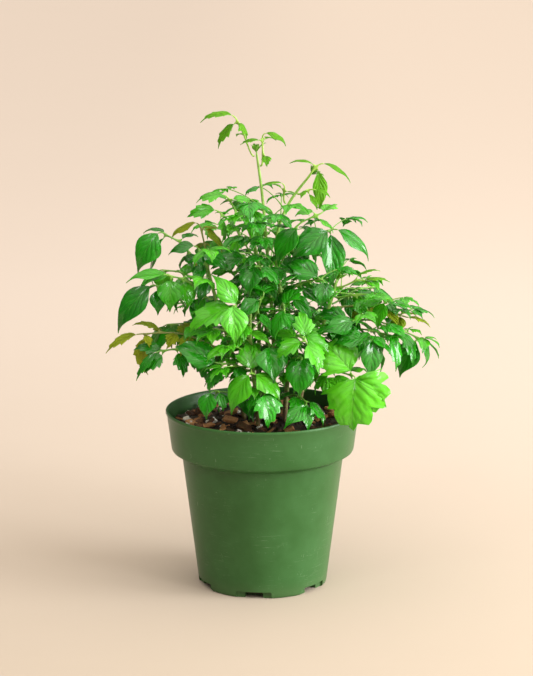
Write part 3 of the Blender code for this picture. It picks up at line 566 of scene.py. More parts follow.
def shade(obj: bpy.types.Object, degrees: float = 180.0) -> None:
    """Shades an object smooth, with edges sharper than the angle kept crisp."""
    take(obj)
    bpy.ops.object.shade_smooth_by_angle(angle=math.radians(degrees))


def settle(obj: bpy.types.Object) -> None:
    """Puts an object's place, turn and size into its mesh."""
    take(obj)
    bpy.ops.object.transform_apply(location=True, rotation=True, scale=True)


def select_verts(obj: bpy.types.Object, wanted: Callable[[Vector], bool]) -> int:
    """Selects, in edit mode, the vertices whose places pass a test, and returns how many do."""
    bpy.ops.object.mode_set(mode="OBJECT")
    count = 0
    for part in (obj.data.polygons, obj.data.edges, obj.data.vertices):
        part.foreach_set("select", [False] * len(part))
    for vert in obj.data.vertices:
        vert.select = wanted(vert.co)
        count += vert.select
    bpy.ops.object.mode_set(mode="EDIT")
    bpy.ops.mesh.select_mode(type="VERT")
    return count


def dress(obj: bpy.types.Object, *materials: bpy.types.Material, index: int = 0) -> None:
    """Gives an object its materials, and every face the one at an index unless that is the first."""
    obj.data.materials.clear()
    for material in materials:
        obj.data.materials.append(material)
    if index:
        obj.data.polygons.foreach_set("material_index", [index] * len(obj.data.polygons))


def finish_piece(obj: bpy.types.Object, slot: str, *nodes: str) -> bpy.types.Object:
    """Rides a piece on the body, hides the nodes that it stands for and logs its faces."""
    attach(obj, BODY)
    if nodes:
        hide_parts(*nodes)
    LOG.info("%s: %d faces", obj.name, len(obj.data.polygons))
    return obj


def linked(name: str, data: bpy.types.ID) -> bpy.types.Object:
    """A new object in the scene that shows some data."""
    obj = bpy.data.objects.new(name, data)
    bpy.context.scene.collection.objects.link(obj)
    return obj


def mesh_object(name: str, bm: bmesh.types.BMesh) -> bpy.types.Object:
    """Makes an object from a bmesh and frees it."""
    mesh = bpy.data.meshes.new(name)
    bm.to_mesh(mesh)
    bm.free()
    return linked(name, mesh)


def drawn_tube(name: str, depth: float, resolution: int, points: Sequence[tuple[Vector, float]]) -> bpy.types.Object:
    """Draws a capped round tube.

    Args:
        name: The object's name.
        depth: The tube's radius.
        resolution: How finely it is rounded.
        points: Places along it, each with its own share of the radius.

    Returns:
        The tube, as a mesh with no UV map.
    """
    curve = bpy.data.curves.new(name, "CURVE")
    curve.dimensions = "3D"
    curve.bevel_depth, curve.bevel_resolution = depth, resolution
    curve.use_fill_caps = True
    line = curve.splines.new("POLY")
    line.points.add(len(points) - 1)
    for point, (place, share) in zip(line.points, points):
        point.co, point.radius = (*place, 1.0), share
    take(linked(name, curve))
    bpy.ops.object.convert(target="MESH")
    tube = bpy.context.object
    while tube.data.uv_layers:
        tube.data.uv_layers.remove(tube.data.uv_layers[0])
    return tube


def map_blade_uv(obj: bpy.types.Object, spot: Callable[[Vector], tuple[float, float]] | None = None) -> None:
    """Adds the UV map that the finishes read, set from each corner's place if a spot is given."""
    mesh = obj.data
    layer = mesh.uv_layers.new(name=BLADE_UV)
    if spot:
        for loop in mesh.loops:
            layer.data[loop.index].uv = spot(mesh.vertices[loop.vertex_index].co)


def drawn_up(name: str, rings: Sequence[tuple[float, float]], segments: int) -> bpy.types.Object:
    """Draws a turned shape up from a disc, ring by ring, and leaves its last face selected for more work.

    Args:
        name: The object's name.
        rings: The (radius, height) of each ring in order.
        segments: How many sides it has.

    Returns:
        The shape, in edit mode.
    """
    deselect_all()
    radius, height = rings[0]
    bpy.ops.mesh.primitive_circle_add(vertices=segments, radius=radius, fill_type="NGON", location=(0, 0, height))
    turned = named(name)
    settle(turned)
    bpy.ops.object.mode_set(mode="EDIT")
    bpy.ops.mesh.select_all(action="SELECT")
    for before, after in zip(rings, rings[1:]):
        bpy.ops.mesh.extrude_region_move(TRANSFORM_OT_translate={"value": (0, 0, after[1] - before[1])})
        if abs(after[0] - before[0]) > 1e-7:
            scale = after[0] / before[0]
            bpy.ops.transform.resize(value=(scale, scale, 1.0), center_override=(0, 0, after[1]))
    return turned


def close_up() -> None:
    """Turns every face outwards and leaves edit mode."""
    bpy.ops.mesh.select_all(action="SELECT")
    bpy.ops.mesh.normals_make_consistent(inside=False)
    bpy.ops.object.mode_set(mode="OBJECT")


def bmesh_of(obj: bpy.types.Object) -> bmesh.types.BMesh:
    """A bmesh copy of an object's mesh."""
    bm = bmesh.new()
    bm.from_mesh(obj.data)
    return bm


def merged_copy(node: str) -> bmesh.types.BMesh:
    """A copy of a node's loose triangles with their shared corners merged."""
    bm = bmesh_of(bpy.data.objects[node])
    bmesh.ops.remove_doubles(bm, verts=bm.verts, dist=0.001 * MM)
    return bm


def search_tree(bm: bmesh.types.BMesh) -> BVHTree:
    """A tree that finds the nearest place on a bmesh, which it frees."""
    tree = BVHTree.FromBMesh(bm)
    bm.free()
    return tree


def joined(name: str, parts: list[bpy.types.Object]) -> bpy.types.Object:
    """Joins finished parts into one object."""
    deselect_all()
    for part in parts:
        part.select_set(True)
    bpy.context.view_layer.objects.active = parts[0]
    bpy.ops.object.join()
    return named(name)


def leaflet_set(name: str, sheets: list[bpy.types.Object], materials: Sequence[bpy.types.Material],
                thickness: float = 0.3 * MM) -> bpy.types.Object:
    """Joins laid leaflets, gives them their two faces' finishes and thickens them."""
    blades = joined(name, sheets)
    dress(blades, *materials)
    apply_modifier(blades, "SOLIDIFY", thickness=thickness, offset=-1.0, material_offset=1, material_offset_rim=1)
    shade(blades, 70.0)
    return blades


def tone_mesh(mesh: bpy.types.Mesh, tone: float) -> None:
    """Gives a whole mesh one value of the tone attribute."""
    layer = mesh.attributes.new(TONE, "FLOAT", "POINT")
    layer.data.foreach_set("value", [tone] * len(mesh.vertices))


# ------------------------------------------------------------------ the pot


@dataclass
class NurseryPot:
    """The round plastic pot: tapered body, deep collar, rolled lip and drain notches."""

    node: str = "pot"
    wall: float = 1.6 * MM
    floor: float = 1.8 * MM
    foot_inset: float = 25.5 * MM
    collar_height: float = 31.2 * MM
    shelf_drop: float = 4.8 * MM
    neck_inset: float = 12.6 * MM
    collar_taper: float = 3.7 * MM
    bead: float = 0.8 * MM
    bead_height: float = 2.6 * MM
    segments: int = 192
    notches: int = 6
    first_notch: float = -8.0
    notch_size: tuple[float, float, float] = (28.0 * MM, 3.4 * MM, 5.4 * MM)
    drain_size: tuple[float, float, float] = (14.0 * MM, 10.0 * MM, 4.2 * MM)
    foot_ring: tuple[float, float] = (5.2 * MM, 7.0 * MM)
    block_spare: float = 6 * MM
    notch_round: float = 1.6 * MM
    radius: float = field(init=False)
    height: float = field(init=False)

    def __post_init__(self) -> None:
        """Takes the overall sizes from the frame."""
        low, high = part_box(self.node)
        self.radius, self.height = (high.x - low.x) / 2, high.z

    def outline(self) -> list[tuple[float, float]]:
        """The wall's section as (radius, height), from the foot up the outside and down the inside."""
        top, rim, wall, floor = self.height, self.radius, self.wall, self.floor
        shelf = top - self.collar_height
        neck, foot = rim - self.neck_inset, rim - self.foot_inset
        neck_top = shelf - self.shelf_drop
        skirt = rim - self.bead - self.collar_taper
        bead_foot = top - self.bead_height
        ring, ring_top = foot - self.foot_ring[0], self.foot_ring[1]
        body = [(foot + (neck - foot) * share, neck_top * share) for share in (0.03, 0.25, 0.5, 0.75, 0.97)]
        collar = [(skirt + self.collar_taper * share, shelf + (bead_foot - shelf) * share)
                  for share in (0.08, 0.35, 0.65, 0.96)]
        return [
            (foot - 1.2 * MM, 0.0), (foot - 0.5 * MM, 0.25 * MM), (foot, 0.9 * MM), *body,
            (neck, neck_top), (neck + 0.8 * MM, neck_top + 0.6 * MM),
            (skirt - 1.6 * MM, shelf - 1.0 * MM), (skirt - 0.5 * MM, shelf - 0.5 * MM), (skirt, shelf + 0.5 * MM),
            *collar, (rim - 0.25 * MM, bead_foot + 0.15 * MM), (rim, bead_foot + 0.6 * MM), (rim, top - 0.8 * MM),
            (rim - 0.25 * MM, top - 0.25 * MM), (rim - 0.8 * MM, top), (rim - 1.4 * MM, top - 0.1 * MM),
            (rim - wall - 0.3 * MM, top - 0.6 * MM), (rim - self.bead - wall, bead_foot),
            (skirt - wall, shelf + 1.4 * MM), (neck - wall, neck_top + 0.8 * MM),
            (foot + (neck - foot) * 0.5 - wall, neck_top * 0.5), (foot - wall + 0.4 * MM, ring_top + 2 * MM),
            (ring, ring_top), (ring, floor + 0.6 * MM), (ring - 0.6 * MM, floor),
        ]

    def shell(self) -> bpy.types.Object:
        """Draws the wall up from a disc, ring by ring, and closes the floor."""
        rings = self.outline()
        pot = drawn_up("nursery_pot", rings, self.segments)
        bpy.ops.mesh.inset(thickness=rings[-1][0] * 0.6)
        close_up()
        return pot

    def block(self, size: tuple[float, float, float], number: int) -> bpy.types.Object:
        """One cutter at the foot, its top rounded along both sides.

        Args:
            size: The opening's width, depth and height.
            number: Which of the notches it is for.

        Returns:
            The cutter, in its place.
        """
        width, depth, height = size
        out = self.radius - self.foot_inset + self.block_spare
        reach, below = depth + self.block_spare, 4 * MM
        deselect_all()
        bpy.ops.mesh.primitive_cube_add(size=1.0, location=(0, reach / 2 - out, (height - below) / 2))
        block = named("notch_block")
        block.scale = (width, reach, height + below)
        settle(block)
        places = [vert.co for vert in block.data.vertices]
        for part in (block.data.polygons, block.data.edges, block.data.vertices):
            part.foreach_set("select", [False] * len(part))
        for edge in block.data.edges:
            one, other = (places[index] for index in edge.vertices)
            edge.select = min(one.z, other.z) > 0 and abs(one.x - other.x) < 1e-6
        bpy.ops.object.mode_set(mode="EDIT")
        bpy.ops.mesh.select_mode(type="EDGE")
        bpy.ops.mesh.bevel(offset=self.notch_round, segments=4)
        bpy.ops.object.mode_set(mode="OBJECT")
        block.rotation_euler.z = math.radians(self.first_notch + number * 360 / self.notches)
        settle(block)
        return block

    def build(self, finish: bpy.types.Material) -> bpy.types.Object:
        """Makes the whole pot and dresses it."""
        pot = self.shell()
        for number in range(self.notches):
            for size in (self.notch_size, self.drain_size):
                block = self.block(size, number)
                apply_modifier(pot, "BOOLEAN", operation="DIFFERENCE", solver="EXACT", object=block)
                bpy.data.objects.remove(block)
        shade(pot, 32.0)
        dress(pot, finish)
        return finish_piece(pot, "pot", self.node)


# ------------------------------------------------------------------ the potting mix


class ChipShape(Enum):
    """The outlines that broken bark comes in, as length, breadth and thickness in millimetres."""

    SLAB = (12.0, 7.5, 2.6)
    SPLINTER = (15.0, 3.4, 2.0)
    CHUNK = (8.0, 6.5, 4.4)
    FLAKE = (9.5, 7.0, 1.3)


@dataclass
class PottingMix:
    """The bark and peat mix that the plant grows in, with what lies on its top."""

    node: str = "soil"
    slot: str = "potting_mix"
    seed: int = 11
    chips: int = 120
    grains: int = 46
    crumbs: int = 420
    twigs: int = 26
    ring_clear: float = 4.4 * MM
    ring_top: float = 7.5 * MM
    rings: int = 44
    segments: int = 128
    top: float = field(init=False)
    edge: float = field(init=False)

    def __post_init__(self) -> None:
        """Takes the mix's place from the frame."""
        low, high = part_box(self.node)
        self.top = high.z - 0.6 * MM
        self.edge = (high.x - low.x) / 2
        self.chance = random.Random(self.seed)

    def lift(self, x: float, y: float) -> float:
        """The height of the mix's lumpy top at a place."""
        place = Vector((x, y, 0.0))
        swell = noise.noise(place * 38.0) * 2.2 * MM
        lumps = noise.noise(place * 140.0) * 1.5 * MM + noise.noise(place * 420.0) * 0.7 * MM
        away = math.hypot(x, y)
        dish = -1.2 * MM * max(0.0, (away - self.edge * 0.8) / (self.edge * 0.2))
        return self.top + swell + lumps + dish - 0.8 * MM

    def body(self) -> bpy.types.Object:
        """The mass of the mix: a drum drawn from a disc, its top lifted into lumps."""
        cad = merged_copy(self.node)
        outline = []
        for level in sorted({round(vert.co.z, 5) for vert in cad.verts}):
            reach = max(math.hypot(vert.co.x, vert.co.y) for vert in cad.verts if abs(vert.co.z - level) < 0.02 * MM)
            if not outline or reach > self.edge * 0.6:
                outline.append((reach, level))
        cad.free()
        outline = [pair for pair in outline if pair[1] < self.top - 1.2 * MM or pair is outline[-1]]
        widest, lowest = outline[0]
        inner = widest - self.ring_clear
        outline[0:1] = [(inner, lowest), (inner, self.ring_top), (widest, self.ring_top + 2 * MM)]
        outline[-1] = (self.edge, self.top)
        mass = drawn_up("potting_mix", outline, self.segments)
        for _ in range(self.rings - 1):
            bpy.ops.mesh.inset(thickness=self.edge / self.rings)
        close_up()
        for vert in mass.data.vertices:
            if vert.co.z > self.top - 0.01 * MM:
                vert.co.z = self.lift(vert.co.x, vert.co.y)
        shade(mass, 60.0)
        return mass

    def spot(self) -> tuple[float, float]:
        """A random place on the mix's top, clear of the wall."""
        away = math.sqrt(self.chance.random()) * (self.edge - 3 * MM)
        turn = self.chance.uniform(0, math.tau)
        return away * math.cos(turn), away * math.sin(turn)

    def chip_master(self, shape: ChipShape) -> bpy.types.Object:
        """One broken piece of bark, with its fibre running along its length."""
        length, breadth, thick = (size * MM for size in shape.value)
        deselect_all()
        bpy.ops.mesh.primitive_cube_add(size=1.0)
        chip = named("chip_" + shape.name.lower())
        chip.scale = (length, breadth, thick)
        settle(chip)
        bpy.ops.object.mode_set(mode="EDIT")
        bpy.ops.mesh.select_all(action="SELECT")
        bpy.ops.mesh.bevel(offset=thick * 0.22, segments=1)
        bpy.ops.mesh.select_all(action="SELECT")
        bpy.ops.mesh.subdivide(number_cuts=1)
        bpy.ops.object.mode_set(mode="OBJECT")
        for vert in chip.data.vertices:
            jag = noise.noise_vector(vert.co * 330.0 + Vector((length * 900, 0, 0)))
            vert.co += Vector((jag.x * 0.9, jag.y * 0.8, jag.z * 0.35)) * MM
            vert.co.z += (vert.co.x / length) ** 2 * thick * 0.9
        map_blade_uv(chip, lambda place: (0.5 + (place.y + place.z) / breadth, 0.5 + place.x / length))
        shade(chip, 40.0)
        return chip

    def scatter(self, name: str, masters: list[bpy.types.Object], count: int, tilt: float,
                sizes: tuple[float, float], sink: float, material: bpy.types.Material) -> bpy.types.Object:
        """Copies small shapes on to the mix's top and joins them into one piece.

        Args:
            name: The piece's name.
            masters: The shapes to copy, each lying flat at the origin; they are removed.
            count: How many copies.
            tilt: The most that a copy leans, in degrees.
            sizes: The least and the most that a copy is scaled by.
            sink: How deep a copy is set, as a share of its height.
            material: What the copies are made of.

        Returns:
            The joined piece.
        """
        copies = []
        for number in range(count):
            copy = linked(name, masters[number % len(masters)].data.copy())
            verts = copy.data.vertices
            x, y = self.spot()
            size = self.chance.uniform(*sizes)
            reach = size * max(vert.co.xy.length for vert in verts)
            inset = min(1.0, (self.edge - 0.5 * MM - reach) / max(math.hypot(x, y), MM))
            x, y = x * inset, y * inset
            lean = [math.radians(self.chance.uniform(-tilt, tilt)) for _ in range(2)]
            turn = Matrix.Rotation(self.chance.uniform(0, math.tau), 4, "Z") @ Matrix.Rotation(lean[0], 4, "X")
            copy.data.transform(turn @ Matrix.Rotation(lean[1], 4, "Y") @ Matrix.Scale(size, 4))
            lowest, highest = min(vert.co.z for vert in verts), max(vert.co.z for vert in verts)
            copy.data.transform(Matrix.Translation((x, y, self.lift(x, y) - lowest - (highest - lowest) * sink)))
            tone_mesh(copy.data, self.chance.random())
            copies.append(copy)
        for master in masters:
            bpy.data.objects.remove(master)
        piece = joined(name, copies)
        dress(piece, material)
        return finish_piece(piece, self.slot)

    def nodule(self, name: str, radius: float, squash: float, jag: float, cuts: int) -> bpy.types.Object:
        """A rough little lump, for a grain of perlite or a crumb of peat.

        Args:
            name: The object's name.
            radius: The lump's radius.
            squash: Its height as a share of its breadth.
            jag: How uneven it is, as a share of its radius.
            cuts: How finely it is divided.

        Returns:
            The lump, at the origin.
        """
        deselect_all()
        bpy.ops.mesh.primitive_ico_sphere_add(subdivisions=cuts, radius=radius)
        lump = named(name)
        for vert in lump.data.vertices:
            vert.co *= 1 + jag * noise.noise(vert.co * (1.3 / radius) + Vector((radius * 5000, squash * 7, 0)))
            vert.co.z *= squash
        shade(lump)
        return lump

    def twig_master(self, bend: float) -> bpy.types.Object:
        """A thin curved root fibre; bend says how much it curls and to which side."""
        length, points = 17 * MM, []
        for number in range(10):
            along = number / 9 - 0.5
            curl = Vector((0, bend * math.sin(along * 5) * 3 * MM, (0.25 - along * along) * 5 * MM * abs(bend)))
            points.append((curl + Vector((along * length, 0, 0)), 1.0 - abs(along)))
        twig = drawn_tube("fibre", 0.28 * MM, 1, points)
        map_blade_uv(twig, lambda place: (place.y / (2 * MM), place.x / length))
        return twig

    def build(self) -> None:
        """Makes the mix and all that lies on it."""
        peat = EarthFinish().make()
        orange = BarkChipFinish("bark_orange", (1.0, 0.5, 0.2), (0.62, 0.24, 0.08)).make()
        brown = BarkChipFinish("bark_brown", (0.36, 0.15, 0.055), (0.05, 0.02, 0.009)).make()
        mass = self.body()
        dress(mass, peat)
        finish_piece(mass, self.slot, self.node)
        for name, tilt, sizes, sink, finish in (("bark_chips_orange", 26, (0.4, 1.0), 0.15, orange),
                                                ("bark_chips_brown", 28, (0.5, 1.15), 0.35, brown)):
            chips = [self.chip_master(shape) for shape in ChipShape]
            self.scatter(name, chips, self.chips // 2, tilt, sizes, sink, finish)
        sizes = ((1.5, 0.8), (2.2, 0.7), (2.8, 0.75))
        grains = [self.nodule("grain", size * MM, squash, 0.5, 3) for size, squash in sizes]
        self.scatter("perlite", grains, self.grains, 40, (0.6, 1.15), 0.35, PerliteFinish().make())
        sizes = ((0.9, 0.8), (1.5, 0.7), (2.2, 0.65))
        crumbs = [self.nodule("crumb", size * MM, squash, 0.8, 2) for size, squash in sizes]
        self.scatter("peat_crumbs", crumbs, self.crumbs, 60, (0.7, 1.3), 0.4, peat)
        twigs = [self.twig_master(bend) for bend in (-1.0, 0.4, 1.0)]
        self.scatter("root_fibres", twigs, self.twigs, 12, (0.6, 1.3), 0.3, brown)


# ------------------------------------------------------------------ leaf blades


@dataclass(frozen=True)
class Blade:
    """Where one leaflet's blade lies, read from the frame's own leaf."""

    base: Vector
    low: Vector
    high: Vector
    tip: Vector
    across: Vector
    top: Vector

    @property
    def length(self) -> float:
        """From the blade's base to its tip."""
        return (self.tip - self.base).length

    def spine(self, along: float) -> Vector:
        """The midrib's place at a share of the way to the tip."""
        knots = (0.0, 0.25, 0.6, 1.0)
        points = (self.base, self.low, self.high, self.tip)
        total = Vector((0, 0, 0))
        for i, point in enumerate(points):
            weight = 1.0
            for j, knot in enumerate(knots):
                if j != i:
                    weight *= (along - knot) / (knots[i] - knot)
            total += point * weight
        return total


@dataclass(frozen=True)
class BladeShape:
    """A leaflet's outline: half widths from base to tip, teeth and how much it is quilted.

    The widths are shares of the blade's widest half, at even steps along it.
    """

    name: str
    widths: tuple[float, ...]
    teeth: int = 0
    tooth: float = 0.0
    rows: int = 16
    columns: int = 8
    quilt: float = 0.05

    def width(self, along: float) -> float:
        """The half width at a share of the way to the tip."""
        place = along * (len(self.widths) - 1)
        left = min(int(place), len(self.widths) - 2)
        share = place - left
        share = share * share * (3 - 2 * share) * 0.35 + share * 0.65
        return self.widths[left] * (1 - share) + self.widths[left + 1] * share

    def build(self) -> bpy.types.Object:
        """Models the flat pattern: x across from -1 to 1 and y along from 0 to 1."""
        deselect_all()
        bpy.ops.mesh.primitive_grid_add(x_subdivisions=self.columns, y_subdivisions=self.rows, size=1.0,
                                        calc_uvs=True, location=(0, 0, 0))
        pattern = named("pattern_" + self.name)
        pattern.data.uv_layers.active.name = BLADE_UV
        bpy.ops.object.mode_set(mode="EDIT")
        bpy.ops.mesh.select_all(action="SELECT")
        bpy.ops.transform.translate(value=(0, 0.5, 0))
        for row in range(self.rows + 1):
            along = row / self.rows
            select_verts(pattern, lambda place: abs(place.y - along) < 0.2 / self.rows)
            half = max(self.width(along), 0.012)
            bpy.ops.transform.resize(value=(2 * half, 1, 1), center_override=(0, along, 0))
        bpy.ops.object.mode_set(mode="OBJECT")
        self.cut_teeth(pattern)
        return pattern

    def cut_teeth(self, pattern: bpy.types.Object) -> None:
        """Draws the margin out into forward-pointing teeth."""
        if not self.teeth:
            return
        for vert in pattern.data.vertices:
            along = vert.co.y
            half = max(self.width(min(max(along, 0.0), 1.0)), 0.012)
            across = min(abs(vert.co.x) / half, 1.0)
            if not 0.12 < along < 0.9:
                continue
            saw = (along * self.teeth * 1.15 + (0.3 if vert.co.x > 0 else 0.0)) % 1.0
            push = self.tooth * (saw - 0.45) * across ** 3
            vert.co.x *= 1 + push / max(half, 0.3)
            vert.co.y += self.tooth * 0.12 * saw * across ** 3


BLADE_SHAPES = {
    shape.name: shape for shape in (
        BladeShape("drip", (0.02, 0.47, 0.82, 0.98, 0.98, 0.86, 0.66, 0.42, 0.21, 0.085, 0.015), quilt=0.045),
        BladeShape("oval", (0.02, 0.62, 0.98, 1.1, 1.06, 0.96, 0.8, 0.6, 0.36, 0.14, 0.012), teeth=3, tooth=0.12,
                   rows=18, quilt=0.05),
        BladeShape("toothed", (0.02, 0.52, 0.88, 1.06, 1.02, 0.86, 0.7, 0.48, 0.24, 0.09, 0.012), teeth=4, tooth=0.34,
                   rows=22, quilt=0.045),
        BladeShape("lance", (0.02, 0.34, 0.64, 0.86, 0.93, 0.86, 0.7, 0.5, 0.3, 0.13, 0.012), rows=14, columns=6,
                   quilt=0.04),
        BladeShape("lobed", (0.03, 0.72, 1.16, 1.28, 1.14, 0.94, 0.9, 0.74, 0.44, 0.16, 0.012), teeth=3, tooth=0.42,
                   rows=32, columns=12, quilt=0.11),
    )
}


@dataclass
class BladeStock:
    """Keeps one pattern of each outline and lays copies of them on the leaves."""

    patterns: dict[str, bpy.types.Object] = field(default_factory=dict)

    def __post_init__(self) -> None:
        """Models the patterns."""
        for name, shape in BLADE_SHAPES.items():
            self.patterns[name] = shape.build()

    def lay(self, name: str, blade: Blade, chance: random.Random, tone: float) -> bpy.types.Object:
        """Copies a pattern on to a blade's place, folded, arched, quilted and a little waved.

        Args:
            name: The pattern's name.
            blade: The blade to follow.
            chance: The leaf's own random source.
            tone: How light the leaflet is, from 0 to 1.

        Returns:
            The laid leaflet, a single sheet with its upper face outwards.
        """
        shape = BLADE_SHAPES[name]
        mesh = self.patterns[name].data.copy()
        sheet = bpy.data.objects.new("leaflet", mesh)
        bpy.context.scene.collection.objects.link(sheet)
        half = blade.across.length
        side = blade.across.normalized()
        wave = [(chance.uniform(0, math.tau), chance.uniform(0.02, 0.075), chance.uniform(1.4, 2.6)) for _ in range(2)]
        twist = math.radians(chance.uniform(-16, 16))
        droop = chance.uniform(0.02, 0.12) * blade.length
        sway = chance.uniform(-0.05, 0.05) * blade.length
        arch, fold = chance.uniform(0.34, 0.62), chance.uniform(0.4, 0.56)
        count = 5.0
        for vert in mesh.vertices:
            x, along = vert.co.x, vert.co.y
            ahead = blade.spine(along + 0.01) - blade.spine(along - 0.01)
            up = side.cross(ahead).normalized()
            if up.dot(blade.top) < 0:
                up.negate()
            flat = ahead.cross(up).normalized()
            if flat.dot(side) < 0:
                flat.negate()
            turn = twist * (along - 0.3)
            flat, up = flat * math.cos(turn) + up * math.sin(turn), up * math.cos(turn) - flat * math.sin(turn)
            away = abs(x)
            phase, depth, times = wave[0 if x < 0 else 1]
            rise = fold * away - arch * away * away
            rise += depth * away * away * math.sin(phase + along * math.tau * times)
            veins = 0.5 - 0.5 * math.cos(math.tau * (along * count - 2.3 * away ** 0.8))
            rise += shape.quilt * veins * min(away * 3, 1.0) * max(0.0, 1.0 - away * 0.75)
            tail = max(0.0, (along - 0.6) / 0.4)
            aside, raised = half * x + sway * along * along, half * rise - droop * tail * tail
            vert.co = blade.spine(along) + flat * aside + up * raised
        mesh.update()
        normal = sum((polygon.normal for polygon in mesh.polygons), Vector((0, 0, 0)))
        if normal.dot(blade.top) < 0:
            mesh.flip_normals()
        tone_mesh(mesh, tone)
        return sheet


def read_blades(leaf: bmesh.types.BMesh) -> tuple[list[Blade], list[bmesh.types.BMVert]]:
    """Finds each blade on a merged copy of a leaf.

    A blade ends in a point that joins four corners: two that are the blade's thickness apart
    and its two edges. The same four corners come again nearer the stalk.

    Args:
        leaf: The merged leaf.

    Returns:
        The blades, and the vertices that belong to blades and not to the stalk.
    """
    blades, spent = [], []
    for tip in leaf.verts:
        ring = [edge.other_vert(tip) for edge in tip.link_edges]
        if len(ring) != 4:
            continue
        pairs = [(a, b) for i, a in enumerate(ring) for b in ring[i + 1:]]
        top, bottom = min(pairs, key=lambda pair: (pair[0].co - pair[1].co).length)
        if not 0.6 * MM < (top.co - bottom.co).length < 0.8 * MM:
            continue
        left, right = (vert for vert in ring if vert not in (top, bottom))
        inner = inner_ring(tip, (left, right, top, bottom))
        if not inner:
            continue
        neck = {edge.other_vert(vert) for vert in inner for edge in vert.link_edges} - set(inner) - set(ring)
        if not neck:
            continue
        base = sum((vert.co for vert in neck), Vector()) / len(neck)
        high = (top.co + bottom.co) / 2
        low = (inner[2].co + inner[3].co) / 2
        lifted = (left.co + right.co) / 2 - high
        thin = top.co - bottom.co
        upward = thin if thin.dot(lifted) > 0 else -thin
        blades.append(Blade(base, low, high, tip.co.copy(), (right.co - left.co) / 2, upward.normalized()))
        spent += [tip, *ring, *inner]
    return blades, spent


def inner_ring(tip: bmesh.types.BMVert, ring: Sequence[bmesh.types.BMVert]) -> list[bmesh.types.BMVert]:
    """The blade's corners nearer the stalk, in the order of the ones near the tip."""
    left, *others = ring
    for edge in left.link_edges:
        start = edge.other_vert(left)
        if start in ring or start is tip:
            continue
        step = start.co - left.co
        found = [start]
        for other in others:
            match = [link.other_vert(other) for link in other.link_edges
                     if ((link.other_vert(other).co - other.co) - step).length < 0.03 * MM]
            if not match:
                break
            found.append(match[0])
        if len(found) == len(ring):
            return found
    return []


def rounded_tube(bm: bmesh.types.BMesh, name: str, swell: float, levels: int) -> bpy.types.Object:
    """Turns a merged, angular tube into a smooth round one.

    Args:
        bm: The tube; its open ends are closed here.
        name: The object's name.
        swell: How far the skin is moved out to make up for the rounding.
        levels: How often it is subdivided.

    Returns:
        The smooth tube.
    """
    loose = [vert for vert in bm.verts if not vert.link_faces]
    bmesh.ops.delete(bm, geom=loose, context="VERTS")
    bmesh.ops.holes_fill(bm, edges=[edge for edge in bm.edges if edge.is_boundary], sides=0)
    bmesh.ops.recalc_face_normals(bm, faces=bm.faces)
    if bm.calc_volume(signed=True) < 0:
        bmesh.ops.reverse_faces(bm, faces=bm.faces)
    bmesh.ops.join_triangles(bm, faces=bm.faces, angle_face_threshold=1.2, angle_shape_threshold=2.2)
    bm.normal_update()
    moved = [(vert, vert.co + vert.normal * swell) for vert in bm.verts]
    for vert, place in moved:
        vert.co = place
    tube = mesh_object(name, bm)
    subdivide_surface(tube, levels)
    shade(tube)
    return tube


